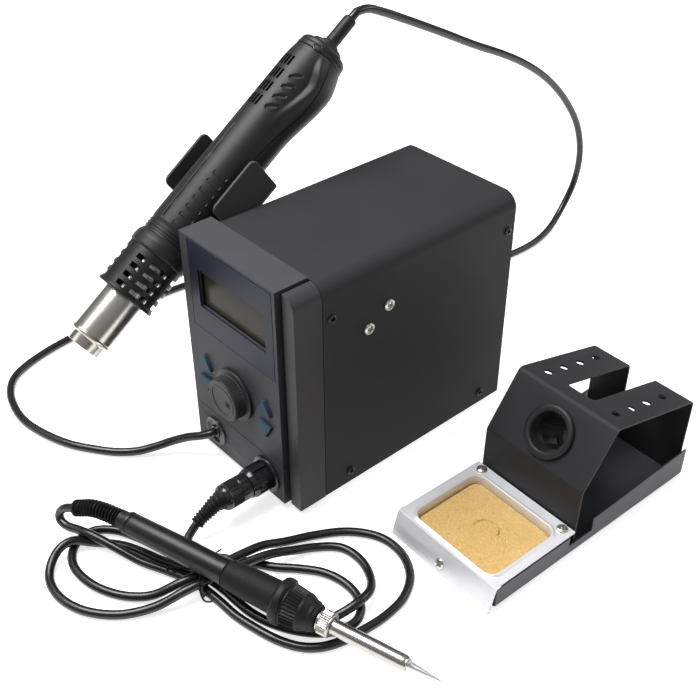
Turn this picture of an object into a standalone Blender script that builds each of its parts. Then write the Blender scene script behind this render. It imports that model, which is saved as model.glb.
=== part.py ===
"""Hot air rework station: a bench unit with a hot air gun in its side cradle, a soldering iron lying on
its own coiled cord, and a separate iron stand with a sponge. Metres, +Z up, everything stands on Z = 0."""

import math

import bmesh
import bpy
import numpy as np
from mathutils import Matrix, Vector

MM = 0.001
CLEARANCE = 0.3 * MM  # between two pieces that touch on the real product

# Bench unit: folded steel case. Local X runs across the front from its left edge, Y to the rear.
CASE_WIDTH = 90 * MM
CASE_LENGTH = 141 * MM
CASE_HEIGHT = 138 * MM
CASE_CORNER = 9 * MM
COVER_SHEET = 1.0 * MM
BASE_SHEET = 1.2 * MM
BASE_FLANGE = 14 * MM
REAR_INSET = 2.0 * MM
FOOT_HEIGHT = 4.0 * MM
FOOT_DIAMETER = 12 * MM
FOOT_INSET = 14 * MM

# Front: moulded bezel over a connector panel, beside the cheek of the front frame
CHEEK_WIDTH = 8.6 * MM
CHEEK_GROOVE = 1.6 * MM
BEZEL_WIDTH = CASE_WIDTH - CHEEK_WIDTH - CHEEK_GROOVE
BEZEL_DEPTH = 21 * MM
BEZEL_RISE = 1.0 * MM
BEZEL_WALL = 2.5 * MM
PANEL_HEIGHT = 26.6 * MM
CHEEK_SETBACK = 3.2 * MM
FRAME_WALL = 2.5 * MM
OVERLAY_HEIGHT = 53 * MM
OVERLAY_THICKNESS = 0.8 * MM
OVERLAY_TOP_MARGIN = 2.0 * MM
OVERLAY_LEFT_MARGIN = 7 * MM
OVERLAY_RIGHT_MARGIN = 2.8 * MM
WINDOW_LEFT_MARGIN = 7.5 * MM
WINDOW_RIGHT_MARGIN = 6.5 * MM
WINDOW_LOW_MARGIN = 14.7 * MM
WINDOW_HEIGHT = 23 * MM
GLASS_THICKNESS = 2.0 * MM
GLASS_RECESS = 3.0 * MM
GLASS_BORDER = 3.0 * MM

# Controls on the bezel: the knob, and the buttons' centres counted from its centre
KNOB_ASIDE = 1.1 * MM  # right of the bezel's middle
KNOB_BELOW = 0.3 * MM  # below the middle of the space between the seam and the overlay
KNOB_RADIUS = 12.8 * MM
KNOB_LENGTH = 9.6 * MM
KNOB_FLANGE_RADIUS = 15.5 * MM
KNOB_FLANGE = 1.6 * MM
KNURL_TEETH = 30
KNURL_DEPTH = 0.45 * MM
SHAFT_DIAMETER = 6.0 * MM
BUTTON_REACH_LEFT = 26.5 * MM
BUTTON_REACH_RIGHT = 26 * MM
BUTTON_ABOVE = 7.5 * MM
BUTTON_BELOW = 9 * MM
BUTTON_WIDTH = 12 * MM
BUTTON_SIDE = 10 * MM
BUTTON_PROUD = 1.8 * MM
BUTTON_TRAVEL = 0.8 * MM
BOARD_THICKNESS = 1.6 * MM
BOARD_SETBACK = 9.0 * MM

# Connectors on the lower panel
CONNECTOR_HEIGHT = 13.7 * MM
GLAND_X = 18 * MM
GLAND_RECESS_DIAMETER = 16.4 * MM
GLAND_RECESS = 1.4 * MM
SOCKET_INSET = 14.4 * MM  # from the bezel's right edge
SOCKET_X = BEZEL_WIDTH - SOCKET_INSET
SOCKET_FLANGE_DIAMETER = 21.8 * MM
SOCKET_BODY_DIAMETER = 15.6 * MM
SOCKET_BORE = 13.4 * MM
PLUG_DIAMETER = 15 * MM
PLUG_LENGTH = 17 * MM
RING_DIAMETER = 17.5 * MM
RING_LENGTH = 12.4 * MM
RING_NOTCHES = 6

# Cords
GUN_CORD_DIAMETER = 5.0 * MM
IRON_CORD_DIAMETER = 4.8 * MM
CORD_LIFT = 0.1 * MM  # the resting cords stay this far above the table
BOOT_RIB = 0.7 * MM

# Gun, along its own axis from the nozzle mouth
GUN_ASIDE = 24 * MM  # from the case's left wall to the axis
GUN_AHEAD = 51.4 * MM  # from the bezel's face to the mouth
GUN_DROP = 61.1 * MM  # from the case's top to the mouth
GUN_TILT = math.radians(34.75)
NOZZLE_RADIUS = 11.7 * MM
NOZZLE_MOUTH_RADIUS = 9.9 * MM
NOZZLE_WALL = 1.0 * MM
GUARD_START = 33.5 * MM
GUARD_LENGTH = 27.2 * MM
GUARD_END = GUARD_START + GUARD_LENGTH
GUARD_RADIUS = 16.75 * MM
GUARD_WALL = 2.0 * MM
GUARD_ROWS = 4
GUARD_ROW_PITCH = 5.7 * MM
GUARD_SLOT_WIDTH = 2.9 * MM
SHELL_START = GUARD_END + CLEARANCE
SHELL_LENGTH = 142 * MM
SHELL_END = SHELL_START + SHELL_LENGTH
SHELL_WALL = 2.2 * MM
SHOULDER_RADIUS = 17.5 * MM
HANDLE_RADIUS = 16 * MM
PARTING_ANGLE = -15
BULGE_HEIGHT = 3.6 * MM
BULGE_PEAK = SHELL_END - 15 * MM
BULGE_RISE = 38 * MM
BULGE_FALL = 20 * MM
BULGE_ANGLE = -40
STRIP_START = SHELL_START + 19 * MM
STRIP_LENGTH = 66 * MM
STRIP_ANGLES = (84.7, 113.3)
STRIP_GROOVE = 0.9 * MM
STRIP_DEPTH = 0.5 * MM
VENT_ANGLES = (70, 87, 104, 121)
VENT_LAST = SHELL_END - 8.7 * MM
VENT_PITCH = 9.6 * MM
VENT_GROUPS = 4
VENT_BRIDGE = 1.4 * MM
VENT_LENGTH = VENT_PITCH - VENT_BRIDGE
VENT_WIDTH = 2.0 * MM
HEATER_START = 12 * MM
HEATER_END = SHELL_START - 3 * MM
HEATER_ROD_RADIUS = 7 * MM
HEATER_FINS = 10 * MM
MOTOR_RADIUS = 10 * MM
MOTOR_LENGTH = 22 * MM
MOTOR_END = SHELL_END - 3 * MM
MOTOR_START = MOTOR_END - MOTOR_LENGTH
MOTOR_RIB = 3 * MM
FAN_RADIUS = 12.6 * MM
FAN_BLADES = 7
FAN_LENGTH = 10 * MM
MOTOR_SHAFT_RADIUS = 1.2 * MM
CAP_LENGTH = 7 * MM
CAP_END = SHELL_END + CAP_LENGTH
SLEEVE_RADIUS = 4 * MM
SLEEVE_LENGTH = 24 * MM
SLEEVE_END = CAP_END + SLEEVE_LENGTH

# Cradle: a folded sheet on the left wall, along the gun's axis
CRADLE_START = SHELL_START + 36 * MM
CRADLE_LENGTH = 36 * MM
CRADLE_SHEET = 1.8 * MM
CRADLE_WIDTH = 46.6 * MM
CRADLE_TOP = 11.5 * MM
CRADLE_BEND = 6 * MM
CRADLE_CORNER = 4 * MM

# Iron, along its own axis from the rear of the handle
IRON_REAR = (51.3 * MM, -80.0 * MM, 23 * MM)
IRON_YAW = math.radians(18.98)
IRON_DIP = math.radians(3.65)
HANDLE_BORE = 3.2 * MM
GRIP_START = 62.3 * MM
GRIP_LENGTH = 29.4 * MM
GRIP_SEAT_RADIUS = 6.0 * MM
GRIP_RADIUS = 8.5 * MM
COLLAR_RADIUS = 12.0 * MM
HOUSING_LENGTH = 22.6 * MM
NUT_RADIUS = 6.2 * MM
NUT_LENGTH = 7.4 * MM
TUBE_RADIUS = 3.9 * MM
TUBE_OUT = 40.2 * MM  # past the nut
TIP_OUT = 17 * MM  # past the tube
TIP_RADIUS = 2.6 * MM
HEATER_RADIUS = 1.4 * MM

# Stand, in its own frame: X across from the left, Y back from the apron's foot
STAND_PLACE = (132.3 * MM, 31.2 * MM)
STAND_YAW = math.radians(-2.0)
TRAY_WIDTH = 71.5 * MM
TRAY_DEPTH = 64 * MM
TRAY_TOP = 16.6 * MM
TRAY_SHEET = 1.0 * MM
APRON_LEAN = 4.5 * MM
APRON_FOOT = 1.3 * MM
POCKET_LEFT = 7.5 * MM
POCKET_WIDTH = 57.5 * MM
POCKET_FRONT = 7.8 * MM
POCKET_LENGTH = 48 * MM
POCKET_CORNER = 6 * MM
POCKET_DEPTH = 10 * MM
POCKET_LIP = 0.8 * MM
SPONGE_HEIGHT = 6.5 * MM
SPONGE_MARGIN = 0.8 * MM
STAND_SHEET = 1.2 * MM
PAD_HEIGHT = 1.5 * MM
CHANNEL_WIDTH = 71.1 * MM
CHANNEL_LENGTH = 157 * MM
CHANNEL_FRONT = 5.8 * MM
WALL_FRONT_HEIGHT = 13.2 * MM
WALL_REAR_HEIGHT = 19 * MM
NOTCH_START = 60 * MM
NOTCH_END = 78 * MM
NOTCH_HEIGHT = 7 * MM
BRACKET_WIDTH = 67 * MM
BRACKET_BEND = 3 * MM
SLANT_FOOT = (66 * MM, 41.2 * MM)
SLANT_TOP = (87.7 * MM, 72.4 * MM)
BRACKET_REAR_TOP = (154 * MM, 55.5 * MM)
BRACKET_REAR_FOOT = 154.2 * MM
SLOT_SIDE = 24.3 * MM
SLOT_START = 10 * MM
SLOT_DEPTH = 28 * MM
REST_HOLE_DIAMETER = 5 * MM
REST_HOLE_INSET = 10.8 * MM
REST_HOLE_STEPS = (10.8 * MM, 24.5 * MM, 39 * MM, 53.7 * MM)
HOLDER_ALONG = 17.5 * MM
HOLDER_RADIUS = 14.7 * MM
HOLDER_MOUTH = 10.6 * MM
HOLDER_TUBE_RADIUS = 11.6 * MM
HOLDER_TUBE_LENGTH = 34 * MM
HOLDER_TUBE_WALL = 0.9 * MM

GRIP_END = GRIP_START + GRIP_LENGTH
HOUSING_START = GRIP_END + CLEARANCE
HOUSING_END = HOUSING_START + HOUSING_LENGTH
NUT_START = HOUSING_END + CLEARANCE
NUT_END = NUT_START + NUT_LENGTH
TUBE_END = NUT_END + TUBE_OUT
TIP_END = TUBE_END + TIP_OUT

CASE_TOP = FOOT_HEIGHT + CASE_HEIGHT
BEZEL_TOP = CASE_TOP + BEZEL_RISE
CASE_REAR = BEZEL_DEPTH + CASE_LENGTH
SEAM = FOOT_HEIGHT + PANEL_HEIGHT
OVERLAY_LOW = BEZEL_TOP - OVERLAY_TOP_MARGIN - OVERLAY_HEIGHT
OVERLAY_RIGHT = BEZEL_WIDTH - OVERLAY_RIGHT_MARGIN
KNOB_CENTRE = (BEZEL_WIDTH / 2 + KNOB_ASIDE, (SEAM + OVERLAY_LOW) / 2 - KNOB_BELOW)
GUN_ORIGIN = (-GUN_ASIDE, -GUN_AHEAD, CASE_TOP - GUN_DROP)


# Shapes: each returns (points, faces) in its own frame


def circle(radius, centre=(0, 0), steps=24):
    """Points of a circle, anticlockwise."""
    angles = [2 * math.pi * i / steps for i in range(steps)]
    return [(centre[0] + radius * math.cos(a), centre[1] + radius * math.sin(a)) for a in angles]


def box_outline(left, low, right, high):
    return [(left, low), (right, low), (right, high), (left, high)]


def rounded(corners, radius, steps=4):
    """The closed outline through the corners, each corner an arc of this radius."""
    outline = []
    for i, corner in enumerate(corners):
        here = Vector(corner)
        arrive = (here - Vector(corners[i - 1])).normalized()
        leave = (Vector(corners[(i + 1) % len(corners)]) - here).normalized()
        turn = math.atan2(arrive.cross(leave), arrive.dot(leave))
        start = here - arrive * radius * math.tan(abs(turn) / 2)
        centre = start + Vector((-arrive.y, arrive.x)) * math.copysign(radius, turn)
        for step in range(steps + 1):
            outline.append(tuple(centre + Matrix.Rotation(turn * step / steps, 2) @ (start - centre)))
    return outline


def folded_strip(corners, bend, thickness, steps=4):
    """The edge-on outline of a sheet folded along the corners of its middle line, each fold an arc."""
    line = [Vector(corner) for corner in corners]
    trace = [(line[0], (line[1] - line[0]).normalized())]
    for before, corner, after in zip(line, line[1:], line[2:]):
        arrive = (corner - before).normalized()
        leave = (after - corner).normalized()
        turn = math.atan2(arrive.cross(leave), arrive.dot(leave))
        start = corner - arrive * bend * math.tan(abs(turn) / 2)
        centre = start + Vector((-arrive.y, arrive.x)) * math.copysign(bend, turn)
        for step in range(steps + 1):
            rotation = Matrix.Rotation(turn * step / steps, 2)
            trace.append((centre + rotation @ (start - centre), rotation @ arrive))
    trace.append((line[-1], (line[-1] - line[-2]).normalized()))
    half = thickness / 2
    left = [tuple(point + Vector((-along.y, along.x)) * half) for point, along in trace]
    right = [tuple(point - Vector((-along.y, along.x)) * half) for point, along in trace]
    return left + right[::-1]


def prism(outline, start, end):
    """The outline in the XY plane, drawn out along Z from start to end."""
    count = len(outline)
    points = [(x, y, z) for z in (start, end) for x, y in outline]
    sides = [(i, (i + 1) % count, (i + 1) % count + count, i + count) for i in range(count)]
    return points, sides + [tuple(range(count)), tuple(range(count, 2 * count))]


def loft(rings, ends="capped"):
    """A skin through rings of equally many points, with flat ends or joined end to end."""
    count = len(rings[0])
    points = [tuple(point) for ring in rings for point in ring]
    pairs = list(zip(range(len(rings)), range(1, len(rings))))
    if ends == "joined":
        pairs.append((len(rings) - 1, 0))
    faces = []
    for low, high in pairs:
        for i in range(count):
            j = (i + 1) % count
            faces.append((low * count + i, low * count + j, high * count + j, high * count + i))
    if ends == "capped":
        faces.append(tuple(range(count)))
        faces.append(tuple(range(len(points) - count, len(points))))
    return points, faces


def turned(profile, steps=32):
    """The (radius, z) profile turned about Z: closed on itself, or from axis to axis where it starts at 0."""
    points = []
    rows = []
    for radius, z in profile:
        if radius == 0:
            rows.append([len(points)])
            points.append((0, 0, z))
        else:
            rows.append(list(range(len(points), len(points) + steps)))
            points.extend((x, y, z) for x, y in circle(radius, steps=steps))
    pairs = list(zip(rows, rows[1:]))
    if profile[0][0] != 0:
        pairs.append((rows[-1], rows[0]))
    faces = []
    for low, high in pairs:
        for i in range(steps):
            j = (i + 1) % steps
            corners = [low[i % len(low)], low[j % len(low)], high[j % len(high)], high[i % len(high)]]
            faces.append(tuple(dict.fromkeys(corners)))
    return points, faces


def tube_profile(inner, outer, start, end):
    return [(outer, start), (outer, end), (inner, end), (inner, start)]


def knurled(stations, teeth):
    """A skin through (radius, z, depth) stations with straight teeth of that depth, flat at both ends."""
    rings = []
    for radius, z, depth in stations:
        ring = []
        for i in range(2 * teeth):
            angle = math.pi * i / teeth
            reach = radius - depth * (i % 2)
            ring.append((reach * math.cos(angle), reach * math.sin(angle), z))
        rings.append(ring)
    return loft(rings)


def swept(path, radii, sides=16):
    """A round skin along a path, with one radius for each of its points."""
    path = [Vector(point) for point in path]
    rings = []
    for i, (point, radius) in enumerate(zip(path, radii)):
        along = (path[min(i + 1, len(path) - 1)] - path[max(i - 1, 0)]).normalized()
        across = along.cross(Vector((0, 0, 1))).normalized()
        up = across.cross(along)
        rings.append([point + across * x + up * y for x, y in circle(radius, steps=sides)])
    return loft(rings)


def joined(*shapes):
    points = []
    faces = []
    for shape_points, shape_faces in shapes:
        start = len(points)
        points.extend(shape_points)
        faces.extend(tuple(start + index for index in face) for face in shape_faces)
    return points, faces


def moved(shape, matrix):
    return [tuple(matrix @ Vector(point)) for point in shape[0]], shape[1]


def smooth_route(points, spacing):
    """Points at about this spacing on the centripetal Catmull-Rom curve through the route."""
    route = [Vector(point) for point in points]
    route = [2 * route[0] - route[1]] + route + [2 * route[-1] - route[-2]]
    dense = []
    for a, b, c, d in zip(route, route[1:], route[2:], route[3:]):
        knots = [0.0]
        for p, q in ((a, b), (b, c), (c, d)):
            knots.append(knots[-1] + math.sqrt((q - p).length))
        k0, k1, k2, k3 = knots
        for step in range(16):
            t = k1 + (k2 - k1) * step / 16
            ab = (a * (k1 - t) + b * (t - k0)) / (k1 - k0)
            bc = (b * (k2 - t) + c * (t - k1)) / (k2 - k1)
            cd = (c * (k3 - t) + d * (t - k2)) / (k3 - k2)
            abc = (ab * (k2 - t) + bc * (t - k0)) / (k2 - k0)
            bcd = (bc * (k3 - t) + cd * (t - k1)) / (k3 - k1)
            dense.append((abc * (k2 - t) + bcd * (t - k1)) / (k2 - k1))
    dense.append(route[-2])
    trail = np.array(dense)
    run = np.concatenate([[0.0], np.cumsum(np.linalg.norm(np.diff(trail, axis=0), axis=1))])
    wanted = np.linspace(0, run[-1], round(run[-1] / spacing) + 1)
    return [Vector([np.interp(s, run, trail[:, axis]) for axis in range(3)]) for s in wanted]


# Objects


def material(name, colour, roughness, metallic=0.0):
    made = bpy.data.materials.new(name)
    made.use_nodes = True
    shader = made.node_tree.nodes["Principled BSDF"]
    shader.inputs["Base Color"].default_value = (*colour, 1)
    shader.inputs["Roughness"].default_value = roughness
    shader.inputs["Metallic"].default_value = metallic
    made.diffuse_color = (*colour, 1)
    return made


def empty(name, location, rotation=(0, 0, 0), parent=None):
    holder = bpy.data.objects.new(name, None)
    bpy.context.scene.collection.objects.link(holder)
    holder.location = location
    holder.rotation_euler = rotation
    holder.parent = parent
    return holder


def solid(name, shape, finish, parent, location=(0, 0, 0), rotation=(0, 0, 0)):
    """One closed body from (points, faces), its faces turned outward and its round faces smooth."""
    mesh = bpy.data.meshes.new(name)
    mesh.from_pydata(shape[0], [], shape[1])
    shell = bmesh.new()
    shell.from_mesh(mesh)
    bmesh.ops.recalc_face_normals(shell, faces=shell.faces)
    shell.to_mesh(mesh)
    shell.free()
    mesh.shade_smooth()
    mesh.set_sharp_from_angle(angle=math.radians(35))
    if finish:
        mesh.materials.append(finish)
    made = bpy.data.objects.new(name, mesh)
    bpy.context.scene.collection.objects.link(made)
    made.parent = parent
    made.location = location
    made.rotation_euler = rotation
    return made


def combine(target, operation, name, shape, location=(0, 0, 0), rotation=(0, 0, 0)):
    """Cuts from, adds to or trims the target by a hidden helper placed in the target's parent's frame."""
    helper = solid(name, shape, None, target.parent, location, rotation)
    helper.hide_render = True
    helper.display_type = "WIRE"
    modifier = target.modifiers.new(name, "BOOLEAN")
    modifier.operation = operation
    modifier.solver = "EXACT"
    modifier.object = helper
    return target


def cord(name, route, diameter, finish, parent, resolution=2):
    """A plain round cord along a smooth curve through the route, its two end legs straight, above the table."""
    lowest = diameter / 2 + CORD_LIFT
    curve = bpy.data.curves.new(name, "CURVE")
    curve.dimensions = "3D"
    curve.bevel_depth = diameter / 2
    curve.bevel_resolution = resolution
    curve.use_fill_caps = True
    trail = [route[0], *smooth_route(route[1:-1], 3 * diameter), route[-1]]
    spline = curve.splines.new("POLY")
    spline.points.add(len(trail) - 1)
    for point, place in zip(spline.points, trail):
        point.co = (place.x, place.y, max(place.z, lowest), 1)
    curve.materials.append(finish)
    made = bpy.data.objects.new(name, curve)
    bpy.context.scene.collection.objects.link(made)
    made.parent = parent
    return made


ALONG_Y = (math.radians(-90), 0, 0)  # turns a shape's Z to +Y, and its Y to -Z
ALONG_FRONT = (math.radians(90), 0, 0)  # turns a shape's Z to -Y, and its Y to +Z
ALONG_X = (math.radians(90), 0, math.radians(90))  # turns a shape's X to Y, its Y to Z and its Z to X


# Bench unit


def case(parent, steel, zinc, rubber):
    """Cover, bottom pan, rear panel and feet."""
    half = COVER_SHEET / 2
    cover = folded_strip(
        [(half, FOOT_HEIGHT), (half, CASE_TOP - half), (CASE_WIDTH - half, CASE_TOP - half),
         (CASE_WIDTH - half, FOOT_HEIGHT)],
        CASE_CORNER - half, COVER_SHEET,
    )
    front = BEZEL_DEPTH + CLEARANCE
    solid("case_cover", prism(cover, 0, CASE_REAR - front), steel, parent, (0, CASE_REAR, 0), ALONG_FRONT)

    side = COVER_SHEET + CLEARANCE + BASE_SHEET / 2
    floor = FOOT_HEIGHT + BASE_SHEET / 2
    pan = folded_strip(
        [(side, FOOT_HEIGHT + BASE_FLANGE), (side, floor), (CASE_WIDTH - side, floor),
         (CASE_WIDTH - side, FOOT_HEIGHT + BASE_FLANGE)],
        BASE_SHEET, BASE_SHEET, 2,
    )
    pan_rear = CASE_REAR - REAR_INSET
    base = solid("base_plate", prism(pan, 0, pan_rear - front), zinc, parent, (0, pan_rear, 0), ALONG_FRONT)
    posts = joined(*(
        prism(circle(BOARD_POST_RADIUS, post, 12), floor, MAINBOARD_BOTTOM - CLEARANCE) for post in MAINBOARD_POSTS
    ))
    combine(base, "UNION", "board_posts", posts)

    foot = turned([
        (0, 0), (FOOT_DIAMETER / 2 - 1 * MM, 0), (FOOT_DIAMETER / 2, 1 * MM),
        (FOOT_DIAMETER / 2, FOOT_HEIGHT - CLEARANCE), (0, FOOT_HEIGHT - CLEARANCE),
    ], 16)
    places = [
        (x, y)
        for y in (BEZEL_DEPTH + FOOT_INSET, CASE_REAR - FOOT_INSET)
        for x in (FOOT_INSET, CASE_WIDTH - FOOT_INSET)
    ]
    for number, (x, y) in enumerate(places, 1):
        solid(f"station_foot_{number}", foot, rubber, parent, (x, y, 0))


CORE_SIZE = (50 * MM, 38 * MM)
CORE_DEPTH = 24 * MM
CORE_LEG = 14 * MM
CORE_WINDOW = 12 * MM
CORE_FROM_REAR = 42 * MM
CORE_SIDE_GAP = 3.2 * MM
BOARD_LIFT = 8 * MM
BOARD_SIDE_GAP = 14 * MM
BOARD_FRONT_GAP = 11 * MM
BOARD_REAR_GAP = 4 * MM
BOARD_POST_INSET = 5 * MM
BOARD_POST_RADIUS = 3 * MM
MAINBOARD_BOTTOM = FOOT_HEIGHT + BOARD_LIFT
MAINBOARD_CORNER = (BOARD_SIDE_GAP, BEZEL_DEPTH + BOARD_FRONT_GAP)
MAINBOARD_SIZE = (
    CASE_WIDTH - 2 * BOARD_SIDE_GAP,
    CASE_REAR - CORE_FROM_REAR - CORE_DEPTH - CORE_WINDOW - BOARD_REAR_GAP - MAINBOARD_CORNER[1],
)
MAINBOARD_POSTS = [
    (MAINBOARD_CORNER[0] + dx, MAINBOARD_CORNER[1] + dy)
    for dx in (BOARD_POST_INSET, MAINBOARD_SIZE[0] - BOARD_POST_INSET)
    for dy in (BOARD_POST_INSET, MAINBOARD_SIZE[1] - BOARD_POST_INSET)
]
CAPACITORS = ((14 * MM, 16 * MM, 6 * MM, 24 * MM), (30 * MM, 14 * MM, 4 * MM, 16 * MM))  # x, y, radius, height
HEAT_SINK_INSET = (16 * MM, 8 * MM)
HEAT_SINK_WIDTH = 4 * MM
HEAT_SINK_HEIGHT = 26 * MM
REAR_THICKNESS = 1.5 * MM
INLET_INSET = 28 * MM  # from the case's right side
INLET_LIFT = 30 * MM  # above the case's bottom
INLET_SIZE = (27 * MM, 20 * MM)
INLET_FLANGE = 2.5 * MM
SWITCH_ABOVE = 34 * MM  # from the inlet's centre to the switch's
SWITCH_SIZE = (19 * MM, 13 * MM)
FUSE_ASIDE = 34 * MM  # from the inlet's centre to the fuse holder's
FUSE_RADIUS = 6 * MM
ROCKER_TILT = math.radians(9)
INLET_CENTRE = (CASE_WIDTH - INLET_INSET, FOOT_HEIGHT + INLET_LIFT)
SWITCH_CENTRE = (INLET_CENTRE[0], INLET_CENTRE[1] + SWITCH_ABOVE)
FUSE_CENTRE = (INLET_CENTRE[0] - FUSE_ASIDE, INLET_CENTRE[1])


def rear(parent, steel, plastic):
    """Rear panel with the mains inlet, the rocker switch and the fuse holder."""
    back = CASE_REAR - REAR_INSET - CLEARANCE
    inner = COVER_SHEET + CLEARANCE
    left = inner + BASE_SHEET + CLEARANCE
    low = FOOT_HEIGHT + BASE_SHEET + CLEARANCE
    outline = rounded(
        [(left, low), (CASE_WIDTH - left, low), (CASE_WIDTH - left, CASE_TOP - inner), (left, CASE_TOP - inner)],
        CASE_CORNER - inner + BASE_SHEET, 4,
    )
    panel = solid("rear_panel", prism(outline, 0, REAR_THICKNESS), steel, parent, (0, back, 0), ALONG_FRONT)
    gap = 2 * CLEARANCE

    def hole(centre, size):
        x, z = centre
        width, height = size
        return box_outline(x - (width + gap) / 2, z - (height + gap) / 2, x + (width + gap) / 2, z + (height + gap) / 2)

    cuts = joined(
        prism(hole(INLET_CENTRE, INLET_SIZE), -5 * MM, 5 * MM),
        prism(hole(SWITCH_CENTRE, SWITCH_SIZE), -5 * MM, 5 * MM),
        prism(circle(FUSE_RADIUS + CLEARANCE, FUSE_CENTRE), -5 * MM, 5 * MM),
    )
    combine(panel, "DIFFERENCE", "rear_openings", cuts, (0, back, 0), ALONG_FRONT)

    def centred(width, height):
        return box_outline(-width / 2, -height / 2, width / 2, height / 2)

    width, height = INLET_SIZE
    x, z = INLET_CENTRE
    seat = CLEARANCE
    inlet = solid(
        "power_inlet", prism(centred(width, height), -2 * MM, 18 * MM), plastic, parent, (x, back, z), ALONG_FRONT,
    )
    flange = rounded(centred(width + 8 * MM, height + 6 * MM), 3 * MM)
    combine(inlet, "UNION", "inlet_flange", prism(flange, -seat - INLET_FLANGE, -seat), (x, back, z), ALONG_FRONT)
    mouth = rounded(
        [(-11.5 * MM, -7.5 * MM), (11.5 * MM, -7.5 * MM), (11.5 * MM, 3 * MM), (7.5 * MM, 7.5 * MM),
         (-7.5 * MM, 7.5 * MM), (-11.5 * MM, 3 * MM)], 1 * MM, 2,
    )
    combine(inlet, "DIFFERENCE", "inlet_mouth", prism(mouth, -8 * MM, 12 * MM), (x, back, z), ALONG_FRONT)
    pins = joined(*(
        prism(box_outline(px - 1 * MM, pz - 2 * MM, px + 1 * MM, pz + 2 * MM), -1 * MM, 14 * MM)
        for px, pz in ((-7 * MM, -1.5 * MM), (0, 2 * MM), (7 * MM, -1.5 * MM))
    ))
    combine(inlet, "UNION", "inlet_pins", pins, (x, back, z), ALONG_FRONT)

    width, height = SWITCH_SIZE
    x, z = SWITCH_CENTRE
    housing = solid(
        "switch_housing", prism(centred(width, height), -1 * MM, 16 * MM), plastic, parent, (x, back, z), ALONG_FRONT
    )
    rim = rounded(centred(width + 3 * MM, height + 3 * MM), 1.5 * MM)
    combine(housing, "UNION", "switch_rim", prism(rim, -seat - 2 * MM, -seat), (x, back, z), ALONG_FRONT)
    well = centred(width - 3 * MM, height - 2 * MM)
    combine(housing, "DIFFERENCE", "switch_well", prism(well, -5 * MM, 7 * MM), (x, back, z), ALONG_FRONT)
    half = (width - 3 * MM) / 2 - CLEARANCE - 0.2 * MM
    rise = math.tan(ROCKER_TILT)
    rocker = rounded(
        [(-half, -1 * MM), (half, -1 * MM), (half, 2 * MM + half * rise), (0, 2 * MM), (-half, 2 * MM + half * rise)],
        0.5 * MM, 2,
    )
    span = (height - 2 * MM) / 2 - CLEARANCE
    solid("power_rocker", prism(rocker, -span, span), plastic, parent, (x, back, z), (0, 0, ROCKER_TILT))

    x, z = FUSE_CENTRE
    fuse = turned([
        (0, -9 * MM), (5 * MM, -9 * MM), (6.4 * MM, -8 * MM), (7.6 * MM, -seat - 2 * MM), (8.4 * MM, -seat - 2 * MM),
        (8.4 * MM, -seat), (FUSE_RADIUS, -seat), (FUSE_RADIUS, 22 * MM), (0, 22 * MM),
    ], 16)
    holder = solid("fuse_holder", fuse, plastic, parent, (x, back, z), ALONG_FRONT)
    slot = prism(box_outline(-4 * MM, -0.8 * MM, 4 * MM, 0.8 * MM), -12 * MM, -7.5 * MM)
    combine(holder, "DIFFERENCE", "fuse_slot", slot, (x, back, z), ALONG_FRONT)


def inside(parent, board, iron, copper):
    """Main board on its posts and the transformer beside it."""
    x, y = MAINBOARD_CORNER
    right = x + MAINBOARD_SIZE[0]
    rear_edge = y + MAINBOARD_SIZE[1]
    seat = MAINBOARD_BOTTOM + BOARD_THICKNESS / 2
    board_outline = box_outline(x, y, right, rear_edge)
    main = solid("mainboard", prism(board_outline, MAINBOARD_BOTTOM, MAINBOARD_BOTTOM + BOARD_THICKNESS), board, parent)
    sink_x, sink_y = HEAT_SINK_INSET
    sink = box_outline(right - sink_x - HEAT_SINK_WIDTH, y + sink_y, right - sink_x, rear_edge - sink_y)
    combine(main, "UNION", "heat_sink", prism(sink, seat, MAINBOARD_BOTTOM + HEAT_SINK_HEIGHT))
    for number, (dx, dy, radius, tall) in enumerate(CAPACITORS, 1):
        can = prism(circle(radius, (x + dx, y + dy), 16), seat, MAINBOARD_BOTTOM + tall)
        combine(main, "UNION", f"capacitor_{number}", can)

    width, height = CORE_SIZE
    aside = COVER_SHEET + BASE_SHEET + 2 * CLEARANCE + CORE_SIDE_GAP + width / 2
    place = (aside, CASE_REAR - CORE_FROM_REAR, FOOT_HEIGHT + BASE_SHEET + CLEARANCE + height / 2)
    core = solid(
        "transformer_core", prism(box_outline(-width / 2, -height / 2, width / 2, height / 2), 0, CORE_DEPTH),
        iron, parent, place, ALONG_FRONT,
    )
    window_height = height - CORE_LEG
    windows = joined(*(
        prism(
            box_outline(centre - CORE_WINDOW / 2, -window_height / 2, centre + CORE_WINDOW / 2, window_height / 2),
            -5 * MM, CORE_DEPTH + 5 * MM,
        )
        for centre in (-(CORE_LEG + CORE_WINDOW) / 2, (CORE_LEG + CORE_WINDOW) / 2)
    ))
    combine(core, "DIFFERENCE", "core_windows", windows, place, ALONG_FRONT)
    leg = CORE_LEG / 2 + CLEARANCE
    reach = CORE_LEG / 2 + CORE_WINDOW - CLEARANCE
    depth = CORE_DEPTH / 2
    inner = box_outline(-leg, -depth - CLEARANCE, leg, depth + CLEARANCE)
    outer = rounded(
        box_outline(-reach, -depth - CORE_WINDOW, reach, depth + CORE_WINDOW), CORE_WINDOW / 2, 3
    )
    tall = window_height / 2 - CLEARANCE
    middle = (place[0], place[1] - depth, place[2])
    coil = solid("transformer_coil", prism(outer, -tall, tall), copper, parent, middle)
    combine(coil, "DIFFERENCE", "coil_window", prism(inner, -2 * tall, 2 * tall), middle)


CHEEK_STEPS = 6


def mirrored(outline):
    """An outline given in x and height, for a shape whose Y points down."""
    return [(x, -z) for x, z in outline]


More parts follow.
